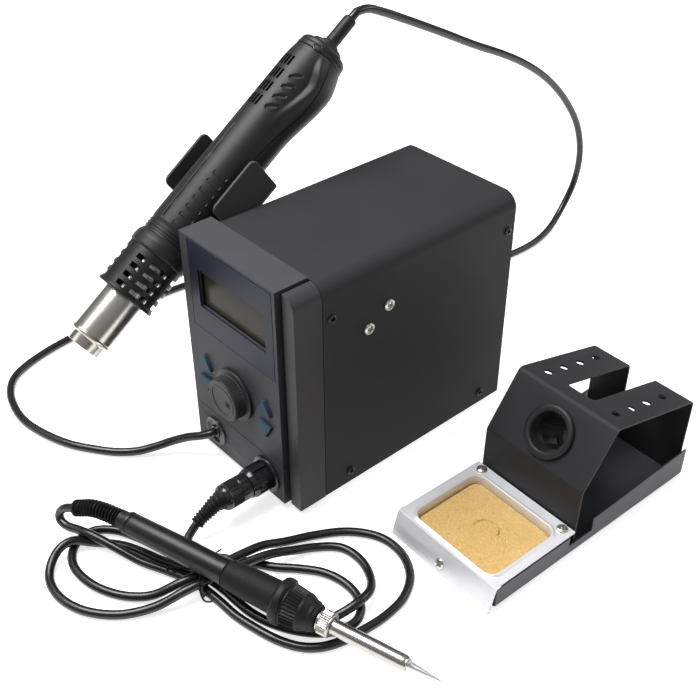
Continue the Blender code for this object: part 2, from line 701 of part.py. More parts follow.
def front(parent, plastic, dark, navy, glass, board):
    """Front frame with its cheek, bezel, connector panel, overlay, display and its board."""
    rear_face = BEZEL_DEPTH
    plate_front = rear_face - FRAME_WALL
    cheek = BEZEL_WIDTH + CHEEK_GROOVE
    inner = BEZEL_WALL + CLEARANCE
    corner = CASE_WIDTH - cheek - 0.1 * MM
    side = box_outline(cheek, FOOT_HEIGHT, CASE_WIDTH, CASE_TOP)
    shoulder = [
        (CASE_WIDTH - corner + corner * math.cos(angle), CASE_TOP - corner + corner * math.sin(angle))
        for angle in (math.pi / 2 * step / CHEEK_STEPS for step in range(CHEEK_STEPS + 1))
    ]
    profile = side[:2] + shoulder + side[3:]
    frame = solid(
        "front_frame", prism(profile, 0, rear_face - CHEEK_SETBACK), dark, parent, (0, rear_face, 0), ALONG_FRONT
    )
    plate = prism(
        box_outline(inner, FOOT_HEIGHT + inner, cheek + 2 * MM, BEZEL_TOP - inner - CASE_CORNER / 2),
        0, FRAME_WALL - CLEARANCE,
    )
    combine(frame, "UNION", "frame_plate", plate, (0, rear_face, 0), ALONG_FRONT)
    passage = prism(
        box_outline(3 * inner, FOOT_HEIGHT + 3 * inner, BEZEL_WIDTH - 3 * inner, BEZEL_TOP - 8 * inner),
        -5 * MM, FRAME_WALL + 5 * MM,
    )
    combine(frame, "DIFFERENCE", "frame_passage", passage, (0, rear_face, 0), ALONG_FRONT)

    # The bezel and the panel are trays open to the rear; their right walls stop short of the frame's plate.
    def tray(name, low, high, open_low, open_high):
        body = solid(
            name, prism(box_outline(0, low, BEZEL_WIDTH, high), 0, BEZEL_DEPTH), plastic, parent,
            (0, BEZEL_DEPTH, 0), ALONG_FRONT,
        )
        hollow = prism(
            box_outline(BEZEL_WALL, low + open_low, BEZEL_WIDTH - BEZEL_WALL, high - open_high),
            -5 * MM, BEZEL_DEPTH - BEZEL_WALL,
        )
        step = prism(
            box_outline(BEZEL_WIDTH - 2 * BEZEL_WALL, low - 1 * MM, BEZEL_WIDTH + 1 * MM, high - open_high),
            -5 * MM, FRAME_WALL,
        )
        combine(body, "DIFFERENCE", name + "_hollow", hollow, (0, BEZEL_DEPTH, 0), ALONG_FRONT)
        combine(body, "DIFFERENCE", name + "_step", step, (0, BEZEL_DEPTH, 0), ALONG_FRONT)
        return body

    bezel = tray("front_bezel", SEAM + CLEARANCE, BEZEL_TOP, -1 * MM, BEZEL_WALL)
    panel = tray("connector_panel", FOOT_HEIGHT + CLEARANCE, SEAM, BEZEL_WALL, -1 * MM)

    left = OVERLAY_LEFT_MARGIN
    high = OVERLAY_LOW + OVERLAY_HEIGHT
    window_left = left + WINDOW_LEFT_MARGIN
    window_right = OVERLAY_RIGHT - WINDOW_RIGHT_MARGIN
    window_low = OVERLAY_LOW + WINDOW_LOW_MARGIN
    window_high = window_low + WINDOW_HEIGHT

    def round_window(margin):
        return mirrored(box_outline(
            window_left - margin, window_low - margin, window_right + margin, window_high + margin
        ))

    pocket = box_outline(left - CLEARANCE, OVERLAY_LOW - CLEARANCE, OVERLAY_RIGHT + CLEARANCE, high + CLEARANCE)
    knob_x, knob_z = KNOB_CENTRE
    knob_hole = circle(POT_BUSH_RADIUS + CLEARANCE, (knob_x, -knob_z))
    through = joined(
        prism(round_window(0), OVERLAY_THICKNESS, 8 * MM),
        prism(knob_hole, -5 * MM, 8 * MM),
        *(prism(triangle(centre, pointing, CLEARANCE), -5 * MM, 8 * MM) for centre, pointing, _ in BUTTONS),
    )
    seat_cut = prism(mirrored(pocket), -5 * MM, OVERLAY_THICKNESS + CLEARANCE)
    combine(bezel, "DIFFERENCE", "overlay_seat", seat_cut, (0, 0, 0), ALONG_Y)
    combine(bezel, "DIFFERENCE", "bezel_openings", through, (0, 0, 0), ALONG_Y)

    sheet = solid(
        "display_overlay", prism(mirrored(box_outline(left, OVERLAY_LOW, OVERLAY_RIGHT, high)), 0, OVERLAY_THICKNESS),
        navy, parent, (0, 0, 0), ALONG_Y,
    )
    combine(sheet, "DIFFERENCE", "overlay_window", prism(round_window(0), -5 * MM, 5 * MM), (0, 0, 0), ALONG_Y)
    pane = prism(round_window(-2 * CLEARANCE), GLASS_RECESS, GLASS_RECESS + GLASS_THICKNESS)
    module = solid("lcd_module", pane, glass, parent, (0, 0, 0), ALONG_Y)
    back = prism(round_window(GLASS_BORDER), GLASS_RECESS + GLASS_THICKNESS / 2, BOARD_SETBACK - CLEARANCE)
    combine(module, "UNION", "lcd_back", back, (0, 0, 0), ALONG_Y)
    bounds = box_outline(
        BEZEL_WALL + CLEARANCE, SEAM + 2 * MM, BEZEL_WIDTH - BEZEL_WALL - CLEARANCE, BEZEL_TOP - BEZEL_WALL - CLEARANCE
    )
    circuit = solid(
        "display_board", prism(mirrored(bounds), BOARD_SETBACK, BOARD_SETBACK + BOARD_THICKNESS), board,
        parent, (0, 0, 0), ALONG_Y,
    )
    combine(circuit, "DIFFERENCE", "bush_hole", prism(knob_hole, 0, BEZEL_DEPTH), (0, 0, 0), ALONG_Y)
    return panel


def triangle(centre, pointing, margin=0.0):
    """Rounded triangle about the centre, in (x, -z), grown by the margin."""
    x, z = centre
    half = BUTTON_WIDTH / 2 + 1.6 * margin
    low = -BUTTON_SIDE / 2 - margin
    high = BUTTON_SIDE / 2 + 1.8 * margin
    corners = [(x - half, z + pointing * low), (x + half, z + pointing * low), (x, z + pointing * high)]
    if pointing < 0:
        corners.reverse()
    return [(px, -pz) for px, pz in rounded(corners, 0.8 * MM, 3)]


BUTTONS = [
    ((KNOB_CENTRE[0] - BUTTON_REACH_LEFT, KNOB_CENTRE[1] + BUTTON_ABOVE), 1, "left_up_button"),
    ((KNOB_CENTRE[0] - BUTTON_REACH_LEFT, KNOB_CENTRE[1] - BUTTON_BELOW), -1, "left_down_button"),
    ((KNOB_CENTRE[0] + BUTTON_REACH_RIGHT, KNOB_CENTRE[1] + BUTTON_ABOVE), 1, "right_up_button"),
    ((KNOB_CENTRE[0] + BUTTON_REACH_RIGHT, KNOB_CENTRE[1] - BUTTON_BELOW), -1, "right_down_button"),
]
POT_BUSH_RADIUS = 4.6 * MM
BUTTON_RIM = 1.0 * MM


def controls(parent, blue, plastic, steel, brass):
    """Four triangular buttons, the knob, its shaft and the potentiometer that it turns."""
    for centre, pointing, name in BUTTONS:
        x, z = centre
        face = triangle((0, 0), pointing)
        rim = triangle((0, 0), pointing, BUTTON_RIM)
        rear_end = BOARD_SETBACK - BUTTON_TRAVEL - CLEARANCE
        button = solid(name, prism(face, -BUTTON_PROUD, rear_end), blue, parent, (x, 0, z), ALONG_Y)
        behind = BEZEL_WALL + CLEARANCE
        combine(button, "UNION", name + "_rim", prism(rim, behind, behind + BUTTON_RIM), (x, 0, z), ALONG_Y)

    place = (KNOB_CENTRE[0], 0, KNOB_CENTRE[1])
    back = -0.5 * MM
    shoulder = back - KNOB_FLANGE
    front_face = -KNOB_LENGTH - 0.4 * MM
    knob = solid("airflow_knob", knurled([
        (KNOB_RADIUS - 1.4 * MM, front_face, 0),
        (KNOB_RADIUS - 0.5 * MM, front_face + 0.5 * MM, 0),
        (KNOB_RADIUS, front_face + 1.3 * MM, KNURL_DEPTH),
        (KNOB_RADIUS, shoulder - 0.3 * MM, KNURL_DEPTH),
        (KNOB_RADIUS, shoulder, 0),
        (KNOB_FLANGE_RADIUS, shoulder, 0),
        (KNOB_FLANGE_RADIUS, back, 0),
    ], KNURL_TEETH), plastic, parent, place, ALONG_Y)
    dish = turned([
        (0, front_face - 2 * MM), (KNOB_RADIUS - 2.4 * MM, front_face - 2 * MM),
        (KNOB_RADIUS - 2.6 * MM, front_face + 0.5 * MM), (0, front_face + 0.7 * MM),
    ], 20)
    bore = prism(circle(SHAFT_DIAMETER / 2 + CLEARANCE), front_face + 2.5 * MM, 2 * MM)
    combine(knob, "DIFFERENCE", "knob_dish", dish, place, ALONG_Y)
    combine(knob, "DIFFERENCE", "knob_bore", bore, place, ALONG_Y)
    dimple = turned([
        (0, front_face - 3 * MM), (2.2 * MM, front_face - 3 * MM), (2.2 * MM, front_face + 0.6 * MM),
        (1.2 * MM, front_face + 1.4 * MM), (0, front_face + 1.5 * MM),
    ], 12)
    spot = (place[0] + 5.5 * MM, 0, place[2] + 1 * MM)
    combine(knob, "DIFFERENCE", "knob_dimple", dimple, spot, ALONG_Y)

    shaft_end = BOARD_SETBACK + 6 * MM
    shaft = turned([
        (0, front_face + 2.8 * MM), (SHAFT_DIAMETER / 2, front_face + 2.8 * MM), (SHAFT_DIAMETER / 2, shaft_end),
        (0, shaft_end),
    ], 18)
    solid("knob_shaft", shaft, steel, parent, place, ALONG_Y)
    behind = BOARD_SETBACK + BOARD_THICKNESS + CLEARANCE
    bore_radius = SHAFT_DIAMETER / 2 + CLEARANCE
    pot = turned([
        (bore_radius, 4 * MM), (POT_BUSH_RADIUS, 4 * MM), (POT_BUSH_RADIUS, behind), (8.5 * MM, behind),
        (8.5 * MM, behind + 6.5 * MM), (bore_radius, behind + 6.5 * MM),
    ], 16)
    solid("potentiometer", pot, brass, parent, place, ALONG_Y)


def connectors(parent, panel, gloss, rubber):
    """Cord gland, iron socket, plug with its locking ring, and the plug's ribbed boot."""
    z = FOOT_HEIGHT + CONNECTOR_HEIGHT
    recess = circle(GLAND_RECESS_DIAMETER / 2, (GLAND_X, -z))
    through = circle(GLAND_RECESS_DIAMETER / 2 - 2 * MM, (GLAND_X, -z))
    socket_hole = circle(SOCKET_BODY_DIAMETER / 2 + CLEARANCE, (SOCKET_X, -z))
    combine(panel, "DIFFERENCE", "gland_recess", prism(recess, -5 * MM, GLAND_RECESS), (0, 0, 0), ALONG_Y)
    holes = joined(prism(through, 0.5 * MM, 8 * MM), prism(socket_hole, -5 * MM, 8 * MM))
    combine(panel, "DIFFERENCE", "panel_holes", holes, (0, 0, 0), ALONG_Y)
    radius = GLAND_RECESS_DIAMETER / 2 - CLEARANCE
    nose = GUN_CORD_DIAMETER / 2 + 1.2 * MM
    gland = turned([
        (0, GLAND_NOSE), (nose - 0.4 * MM, GLAND_NOSE), (nose, GLAND_NOSE + 0.5 * MM), (nose, 0.2 * MM),
        (radius - 1.6 * MM, 0.2 * MM), (radius - 1.4 * MM, -0.9 * MM), (radius, -0.7 * MM),
        (radius, GLAND_RECESS - CLEARANCE), (radius - 2 * MM, GLAND_RECESS - CLEARANCE),
        (radius - 2 * MM, BEZEL_WALL + 5 * MM), (0, BEZEL_WALL + 5 * MM),
    ], 18)
    solid("cord_gland", gland, rubber, parent, (GLAND_X, 0, z), ALONG_Y)

    place = (SOCKET_X, 0, z)
    flange = SOCKET_FLANGE_DIAMETER / 2
    bore = SOCKET_BORE / 2
    body = SOCKET_BODY_DIAMETER / 2
    socket = turned([
        (0, 7 * MM), (bore, 7 * MM), (bore, SOCKET_FACE), (flange - 0.5 * MM, SOCKET_FACE),
        (flange, SOCKET_FACE + 0.5 * MM), (flange, -CLEARANCE), (body, -CLEARANCE), (body, 14 * MM), (0, 14 * MM),
    ], 20)
    solid("iron_socket", socket, gloss, parent, place, ALONG_Y)

    ring_rear = SOCKET_FACE - CLEARANCE
    ring_front = ring_rear - RING_LENGTH
    nose_radius = bore - CLEARANCE
    ring_bore = nose_radius + CLEARANCE
    ring = solid("plug_locking_ring", turned([
        (ring_bore, ring_front), (RING_DIAMETER / 2 - 0.6 * MM, ring_front), (RING_DIAMETER / 2, ring_front + 0.6 * MM),
        (RING_DIAMETER / 2, ring_rear), (ring_bore, ring_rear),
    ], 24), gloss, parent, place, ALONG_Y)
    notches = []
    for number in range(RING_NOTCHES):
        angle = 2 * math.pi * number / RING_NOTCHES
        notch = prism(
            box_outline(RING_DIAMETER / 2 - 0.8 * MM, -1.1 * MM, RING_DIAMETER / 2 + 2 * MM, 1.1 * MM),
            ring_front + 3 * MM, ring_rear + 2 * MM,
        )
        notches.append(moved(notch, Matrix.Rotation(angle, 4, "Z")))
    combine(ring, "DIFFERENCE", "ring_notches", joined(*notches), place, ALONG_Y)

    plug_rear = ring_front - CLEARANCE
    plug_front = plug_rear - PLUG_LENGTH
    radius = PLUG_DIAMETER / 2
    plug = solid("iron_plug", knurled([
        (radius - 2.2 * MM, plug_front, 0), (radius - 0.6 * MM, plug_front + 0.6 * MM, 0),
        (radius, plug_front + 2.2 * MM, 0), (radius, plug_front + 3.4 * MM, 0),
        (radius, plug_front + 3.8 * MM, 0.35 * MM), (radius, plug_front + 11 * MM, 0.35 * MM),
        (radius, plug_front + 11.4 * MM, 0), (radius - 0.5 * MM, plug_front + 12 * MM, 0),
        (radius - 0.5 * MM, plug_rear, 0), (nose_radius, plug_rear, 0), (nose_radius, 6 * MM, 0),
    ], 13), gloss, parent, place, ALONG_Y)
    boot_seat = prism(circle(BOOT_RADIUS + CLEARANCE), plug_front - 2 * MM, plug_front + BOOT_SOCKET)
    combine(plug, "DIFFERENCE", "plug_boot_seat", boot_seat, place, ALONG_Y)

    path = smooth_route(
        [(SOCKET_X, plug_front + BOOT_SOCKET - CLEARANCE, z), (SOCKET_X, plug_front - 3 * MM, z - 0.3 * MM), *PLUG_BOOT_ROUTE],
        BOOT_PITCH / 2,
    )
    solid("plug_boot", ribbed_boot(path, BOOT_RADIUS, IRON_CORD_DIAMETER / 2 + 1.3 * MM), rubber, parent)


def ribbed_boot(path, start_radius, end_radius):
    """A tapering skin along the path, thick and thin by turns, plain at its first and last point."""
    last = len(path) - 1
    radii = []
    for i in range(len(path)):
        radius = start_radius + (end_radius - start_radius) * i / last
        ribbed = 2 < i < last - 1
        radii.append(radius - (BOOT_RIB if ribbed and i % 2 else 0))
    return swept(path, radii, 10)


GLAND_NOSE = -1.6 * MM
SOCKET_FACE = -2.0 * MM
BOOT_RADIUS = 5.6 * MM
BOOT_SOCKET = 2.0 * MM
BOOT_PITCH = 2.8 * MM
PLUG_BOOT_ROUTE = [
    (SOCKET_X, -40.0 * MM, 15.0 * MM),
    (SOCKET_X - 0.2 * MM, -44.0 * MM, 12.9 * MM),
    (SOCKET_X - 0.4 * MM, -47.5 * MM, 10.4 * MM),
]


# Gun: local Z runs along its axis from the nozzle mouth, local X is across, local Y points down


def guard_slots():
    """Four rows round the guard, each with a long and a short slot in every quarter turn."""
    slots = []
    for row in range(GUARD_ROWS):
        middle = GUARD_START + 4.7 * MM + row * GUARD_ROW_PITCH
        for quarter in range(4):
            for start, end in ((-5, 41), (53, 72)):
                slots.append(ring_sector(
                    GUARD_RADIUS - 2 * GUARD_WALL, GUARD_RADIUS + GUARD_WALL,
                    start + 90 * quarter, end + 90 * quarter,
                    middle - GUARD_SLOT_WIDTH / 2, middle + GUARD_SLOT_WIDTH / 2,
                ))
    return joined(*slots)


def ring_sector(inner, outer, start, end, low, high):
    """A piece of a ring between two angles, counted from +X towards the top of the gun."""
    steps = max(1, round((end - start) / 40))
    angles = [-math.radians(start + (end - start) * i / steps) for i in range(steps + 1)]
    outline = [(outer * math.cos(a), outer * math.sin(a)) for a in angles]
    outline += [(inner * math.cos(a), inner * math.sin(a)) for a in reversed(angles)]
    return prism(outline, low, high)


def bulge(station, angle):
    """Height of the fan housing's swelling on the shell: a smooth hill along and round the gun."""
    offset = station - BULGE_PEAK
    along = max(0.0, 1 - abs(offset) / (BULGE_RISE if offset < 0 else BULGE_FALL))
    turn = abs((angle - BULGE_ANGLE + 180) % 360 - 180)
    around = min(1.0, max(0.0, (68 - turn) / 30))
    return BULGE_HEIGHT * along * along * (3 - 2 * along) * around * around * (3 - 2 * around)


def shell_stations():
    """(z, outer radius, inner radius) along the moulded shell."""
    collar = NOZZLE_RADIUS + CLEARANCE
    bore = HANDLE_RADIUS - SHELL_WALL
    rib = MOTOR_RADIUS + CLEARANCE
    z = SHELL_START
    stations = [
        (z, SHOULDER_RADIUS - 0.3 * MM, collar), (z + 3 * MM, SHOULDER_RADIUS, collar),
        (z + 3.4 * MM, SHOULDER_RADIUS, bore), (z + 6 * MM, SHOULDER_RADIUS - 0.1 * MM, bore),
        (z + 8.4 * MM, HANDLE_RADIUS + 0.4 * MM, bore), (z + 10 * MM, HANDLE_RADIUS - 0.5 * MM, bore),
    ]
    for ring in range(3):
        start = z + (10.6 + 2.0 * ring) * MM
        stations.append((start, HANDLE_RADIUS + 0.1 * MM, bore))
        stations.append((start + 1.0 * MM, HANDLE_RADIUS + 0.1 * MM, bore))
        stations.append((start + 1.4 * MM, HANDLE_RADIUS - 0.5 * MM, bore))
    stations.append((z + 18 * MM, HANDLE_RADIUS, bore))
    swell = BULGE_PEAK - BULGE_RISE
    stations += [(swell + BULGE_RISE * step / 6, HANDLE_RADIUS, bore) for step in range(5)]
    held = MOTOR_START + 5 * MM
    stations += [
        (held, HANDLE_RADIUS, bore), (held + 0.4 * MM, HANDLE_RADIUS, rib),
        (held + MOTOR_RIB, HANDLE_RADIUS, rib), (held + MOTOR_RIB + 0.4 * MM, HANDLE_RADIUS, bore),
        (SHELL_END - 11 * MM, HANDLE_RADIUS, bore), (SHELL_END - 6 * MM, HANDLE_RADIUS - 0.3 * MM, bore - 0.3 * MM),
        (SHELL_END, HANDLE_RADIUS - 1 * MM, bore - 1 * MM),
    ]
    return stations


def shell_half(first, last):
    """Half of the hollow shell between two angles, counted from +X towards the top."""
    steps = 9
    gap = math.degrees(CLEARANCE / 2 / HANDLE_RADIUS)
    angles = [first + gap + (last - first - 2 * gap) * i / steps for i in range(steps + 1)]
    rings = []
    for z, outer, inner in shell_stations():
        ring = []
        for angle in angles:
            reach = outer + bulge(z, angle)
            ring.append((reach * math.cos(math.radians(angle)), -reach * math.sin(math.radians(angle)), z))
        for angle in reversed(angles):
            ring.append((inner * math.cos(math.radians(angle)), -inner * math.sin(math.radians(angle)), z))
        rings.append(ring)
    return loft(rings)


def gun(parent, chrome, ceramic, plastic, steel, rubber):
    nozzle = turned([
        (NOZZLE_MOUTH_RADIUS - NOZZLE_WALL, -1.5 * MM), (NOZZLE_MOUTH_RADIUS, -1.5 * MM),
        (NOZZLE_MOUTH_RADIUS, 4.6 * MM), (NOZZLE_RADIUS + 0.5 * MM, 5.2 * MM), (NOZZLE_RADIUS + 0.5 * MM, 6.6 * MM),
        (NOZZLE_RADIUS, 7 * MM), (NOZZLE_RADIUS, SHELL_START + 3 * MM),
        (NOZZLE_RADIUS - NOZZLE_WALL, SHELL_START + 3 * MM), (NOZZLE_RADIUS - NOZZLE_WALL, 7 * MM),
        (NOZZLE_MOUTH_RADIUS - NOZZLE_WALL, 6 * MM),
    ], 24)
    solid("gun_nozzle", nozzle, chrome, parent)

    arms = 6
    reach = NOZZLE_RADIUS - NOZZLE_WALL - CLEARANCE
    hollow = HEATER_ROD_RADIUS - 1 * MM
    star = []
    for arm in range(arms):
        for turn, radius in ((-0.18, reach), (0.18, reach), (0.3, hollow), (0.75, hollow)):
            angle = 2 * math.pi * arm / arms + turn
            star.append((radius * math.cos(angle), radius * math.sin(angle)))
    core = solid("heater_core", prism(star, HEATER_END - HEATER_FINS, HEATER_END), ceramic, parent)
    rod = prism(circle(HEATER_ROD_RADIUS, steps=18), HEATER_START, HEATER_END - 2 * MM)
    combine(core, "UNION", "core_rod", rod)

    inner = GUARD_RADIUS - GUARD_WALL
    mouth = NOZZLE_RADIUS + CLEARANCE
    guard = turned([
        (mouth, GUARD_START), (GUARD_RADIUS + 0.2 * MM, GUARD_START), (GUARD_RADIUS + 0.5 * MM, GUARD_START + 0.4 * MM),
        (GUARD_RADIUS + 0.5 * MM, GUARD_START + 2.1 * MM), (GUARD_RADIUS, GUARD_START + 2.5 * MM),
        (GUARD_RADIUS, GUARD_END), (inner, GUARD_END), (inner, GUARD_START + 1.6 * MM), (mouth, GUARD_START + 1.6 * MM),
    ], 24)
    cage = solid("gun_guard", guard, plastic, parent)
    combine(cage, "DIFFERENCE", "guard_slots", guard_slots())

    top = solid("gun_shell_top", shell_half(PARTING_ANGLE, PARTING_ANGLE + 180), plastic, parent)
    solid("gun_shell_bottom", shell_half(PARTING_ANGLE + 180, PARTING_ANGLE + 360), plastic, parent)
    vents = []
    for group in range(VENT_GROUPS):
        middle = VENT_LAST - group * VENT_PITCH
        slot = prism(
            rounded(
                box_outline(-VENT_WIDTH / 2, middle - VENT_LENGTH / 2, VENT_WIDTH / 2, middle + VENT_LENGTH / 2),
                VENT_WIDTH / 3, 1,
            ),
            HANDLE_RADIUS - 2 * SHELL_WALL, HANDLE_RADIUS + SHELL_WALL,
        )
        upright = [(x, -out, along) for x, along, out in slot[0]], slot[1]
        for angle in VENT_ANGLES:
            vents.append(moved(upright, Matrix.Rotation(math.radians(90 - angle), 4, "Z")))
    combine(top, "DIFFERENCE", "gun_vents", joined(*vents))
    groove = prism(
        box_outline(-STRIP_GROOVE / 2, -HANDLE_RADIUS - 2 * MM, STRIP_GROOVE / 2, STRIP_DEPTH - HANDLE_RADIUS),
        STRIP_START, STRIP_START + STRIP_LENGTH,
    )
    grooves = [moved(groove, Matrix.Rotation(math.radians(90 - angle), 4, "Z")) for angle in STRIP_ANGLES]
    combine(top, "DIFFERENCE", "strip_grooves", joined(*grooves))

    motor = turned([
        (MOTOR_SHAFT_RADIUS + CLEARANCE, MOTOR_START), (MOTOR_RADIUS, MOTOR_START), (MOTOR_RADIUS, MOTOR_END),
        (MOTOR_SHAFT_RADIUS + CLEARANCE, MOTOR_END),
    ], 16)
    solid("fan_motor", motor, steel, parent)
    fan_start = MOTOR_START - FAN_LENGTH - 2 * MM
    blades = []
    for blade in range(FAN_BLADES):
        plate = prism(box_outline(3 * MM, -0.5 * MM, FAN_RADIUS, 0.5 * MM), fan_start, fan_start + FAN_LENGTH)
        lean = Matrix.Rotation(2 * math.pi * blade / FAN_BLADES, 4, "Z")
        blades.append(moved(plate, lean))
    hub = turned([
        (0, fan_start), (4 * MM, fan_start), (4.5 * MM, fan_start + FAN_LENGTH),
        (MOTOR_SHAFT_RADIUS, fan_start + FAN_LENGTH), (MOTOR_SHAFT_RADIUS, MOTOR_END - 2 * MM), (0, MOTOR_END - 2 * MM),
    ], 20)
    impeller = solid("fan_impeller", hub, plastic, parent)
    for number, blade in enumerate(blades, 1):
        combine(impeller, "UNION", f"fan_blade_{number}", blade)

    start = SHELL_END + CLEARANCE
    outer = HANDLE_RADIUS - 1 * MM
    bore = SLEEVE_RADIUS + CLEARANCE
    cap = turned([
        (bore, start), (outer, start), (outer, start + 2.4 * MM), (outer - 0.5 * MM, start + 2.8 * MM),
        (outer - 0.3 * MM, start + 3.3 * MM), (outer - 0.7 * MM, CAP_END - 1.2 * MM), (outer - 2 * MM, CAP_END),
        (9.6 * MM, CAP_END), (9.2 * MM, CAP_END + 2.6 * MM), (6.6 * MM, CAP_END + 3 * MM), (bore, CAP_END + 3 * MM),
    ], 18)
    end_cap = solid("gun_rear_cap", cap, plastic, parent)
    notch = prism(circle(2.6 * MM, steps=12), 0, 6 * MM)
    angle = math.radians(62)
    lying = Matrix.Translation((outer * math.cos(angle), -outer * math.sin(angle), start + 3 * MM))
    combine(end_cap, "DIFFERENCE", "hanging_notch", moved(notch, lying))

    sleeve = turned([
        (0, start + 1 * MM), (SLEEVE_RADIUS, start + 1 * MM), (SLEEVE_RADIUS, CAP_END + 3.3 * MM),
        (5.8 * MM, CAP_END + 3.3 * MM), (5.6 * MM, CAP_END + 5 * MM), (SLEEVE_RADIUS, CAP_END + 5.4 * MM),
        (SLEEVE_RADIUS - 0.1 * MM, SLEEVE_END - 0.5 * MM), (SLEEVE_RADIUS - 0.6 * MM, SLEEVE_END), (0, SLEEVE_END),
    ], 16)
    solid("gun_strain_relief", sleeve, rubber, parent)


def cradle(parent, steel):
    """Folded sheet in the gun's frame: two flanges and a rounded trough that the handle lies in."""
    half = CRADLE_SHEET / 2
    inner = -GUN_ORIGIN[0] - CLEARANCE - half
    outer = inner - CRADLE_WIDTH + CRADLE_SHEET
    floor = HANDLE_RADIUS + CLEARANCE + half
    high = CRADLE_TOP + 5 * MM
    outline = folded_strip(
        [(outer, -high), (outer, floor), (inner, floor), (inner, -high)], CRADLE_BEND, CRADLE_SHEET, 6
    )
    sheet = solid(
        "gun_cradle", prism(outline, CRADLE_START - 5 * MM, CRADLE_START + CRADLE_LENGTH + 5 * MM), steel, parent
    )
    side = rounded(
        box_outline(-CRADLE_TOP, CRADLE_START, HANDLE_RADIUS + 20 * MM, CRADLE_START + CRADLE_LENGTH),
        CRADLE_CORNER, 5,
    )
    trim = prism(side, -80 * MM, 80 * MM)
    turned_trim = [(across, y, z) for y, z, across in trim[0]], trim[1]
    combine(sheet, "INTERSECT", "cradle_corners", turned_trim)


# Iron: local Z runs along its axis from the rear of the handle to the tip


def iron(parent, plastic, rubber, chrome, ceramic):
    handle = turned([
        (HANDLE_BORE, 0), (5.6 * MM, 0), (6.2 * MM, 0.5 * MM), (6.2 * MM, 2.2 * MM), (5.8 * MM, 2.8 * MM),
        (6.2 * MM, 10 * MM), (6.6 * MM, 30 * MM), (6.5 * MM, GRIP_START - 6 * MM), (6.9 * MM, GRIP_START - 0.6 * MM),
        (6.9 * MM, GRIP_START - CLEARANCE), (GRIP_SEAT_RADIUS, GRIP_START - CLEARANCE), (GRIP_SEAT_RADIUS, GRIP_END),
        (HANDLE_BORE, GRIP_END),
    ], 16)
    solid("iron_handle", handle, plastic, parent)
    bore = GRIP_SEAT_RADIUS + CLEARANCE
    grip = turned([
        (bore, GRIP_START), (6.9 * MM, GRIP_START), (7.6 * MM, GRIP_START + 4 * MM), (8.3 * MM, GRIP_START + 13 * MM),
        (GRIP_RADIUS, GRIP_START + 22 * MM), (GRIP_RADIUS + 0.3 * MM, GRIP_END - 1 * MM), (GRIP_RADIUS, GRIP_END),
        (bore, GRIP_END),
    ], 18)
    solid("iron_grip", grip, rubber, parent)

    start = HOUSING_START
    end = HOUSING_END
    core = TUBE_RADIUS + CLEARANCE
    housing = knurled([
        (COLLAR_RADIUS - 2 * MM, start, 0), (COLLAR_RADIUS - 0.4 * MM, start + 0.8 * MM, 0),
        (COLLAR_RADIUS, start + 2 * MM, 0), (COLLAR_RADIUS, start + 4.5 * MM, 0),
        (COLLAR_RADIUS - 0.8 * MM, start + 5.4 * MM, 0), (COLLAR_RADIUS - 2 * MM, start + 6 * MM, 0),
        (COLLAR_RADIUS - 1.6 * MM, start + 7 * MM, 0.6 * MM), (COLLAR_RADIUS - 2.4 * MM, start + 14 * MM, 0.6 * MM),
        (COLLAR_RADIUS - 2.6 * MM, start + 15 * MM, 0), (COLLAR_RADIUS - 3 * MM, start + 16 * MM, 0),
        (COLLAR_RADIUS - 4.6 * MM, end - 1 * MM, 0), (COLLAR_RADIUS - 5.2 * MM, end, 0),
    ], 14)
    body = solid("iron_front_housing", housing, plastic, parent)
    combine(body, "DIFFERENCE", "housing_bore", prism(circle(core, steps=20), start - 5 * MM, end + 5 * MM))

    nut = solid("iron_nut", knurled([
        (NUT_RADIUS - 0.5 * MM, NUT_START, 0), (NUT_RADIUS, NUT_START + 0.5 * MM, 0.3 * MM),
        (NUT_RADIUS, NUT_END - 1.2 * MM, 0.3 * MM), (NUT_RADIUS - 0.4 * MM, NUT_END - 0.8 * MM, 0),
        (NUT_RADIUS - 1.2 * MM, NUT_END, 0),
    ], 14), chrome, parent)
    combine(nut, "DIFFERENCE", "nut_bore", prism(circle(core, steps=20), NUT_START - 5 * MM, NUT_END + 5 * MM))

    tube_bore = TIP_RADIUS + CLEARANCE
    tube = turned([
        (tube_bore, start + 2 * MM), (TUBE_RADIUS, start + 2 * MM), (TUBE_RADIUS, TUBE_END - 1 * MM),
        (TUBE_RADIUS - 0.4 * MM, TUBE_END), (tube_bore, TUBE_END),
    ], 16)
    solid("iron_tube", tube, chrome, parent)
    heater_end = TUBE_END - 10 * MM
    seat = HEATER_RADIUS + CLEARANCE
    tip = turned([
        (0, heater_end + CLEARANCE), (seat, heater_end + CLEARANCE), (seat, TUBE_END - 32 * MM),
        (TIP_RADIUS, TUBE_END - 32 * MM), (TIP_RADIUS, TUBE_END + 0.6 * MM), (2.0 * MM, TUBE_END + 1.4 * MM),
        (1.7 * MM, TUBE_END + 5 * MM), (0.3 * MM, TIP_END - 0.2 * MM), (0, TIP_END),
    ], 14)
    solid("iron_tip", tip, chrome, parent)
    heater = turned([
        (0, start + 4 * MM), (HANDLE_BORE - CLEARANCE - 0.8 * MM, start + 4 * MM),
        (HANDLE_BORE - CLEARANCE - 0.8 * MM, start + 8 * MM), (HEATER_RADIUS, start + 9 * MM),
        (HEATER_RADIUS, heater_end), (0, heater_end),
    ], 12)
    solid("iron_heater", heater, ceramic, parent)

    # The boot follows the axis out of the handle and droops; its places are in the iron's own frame.
    world = parent.matrix_basis.inverted()
    ends = [world @ Vector(point) for point in IRON_BOOT_ROUTE]
    path = smooth_route([(0, 0, -CLEARANCE), (0, 0, -6 * MM), *ends], BOOT_PITCH / 2)
    solid("iron_boot", ribbed_boot(path, IRON_BOOT_RADIUS, IRON_BOOT_RADIUS - 0.4 * MM), rubber, parent)


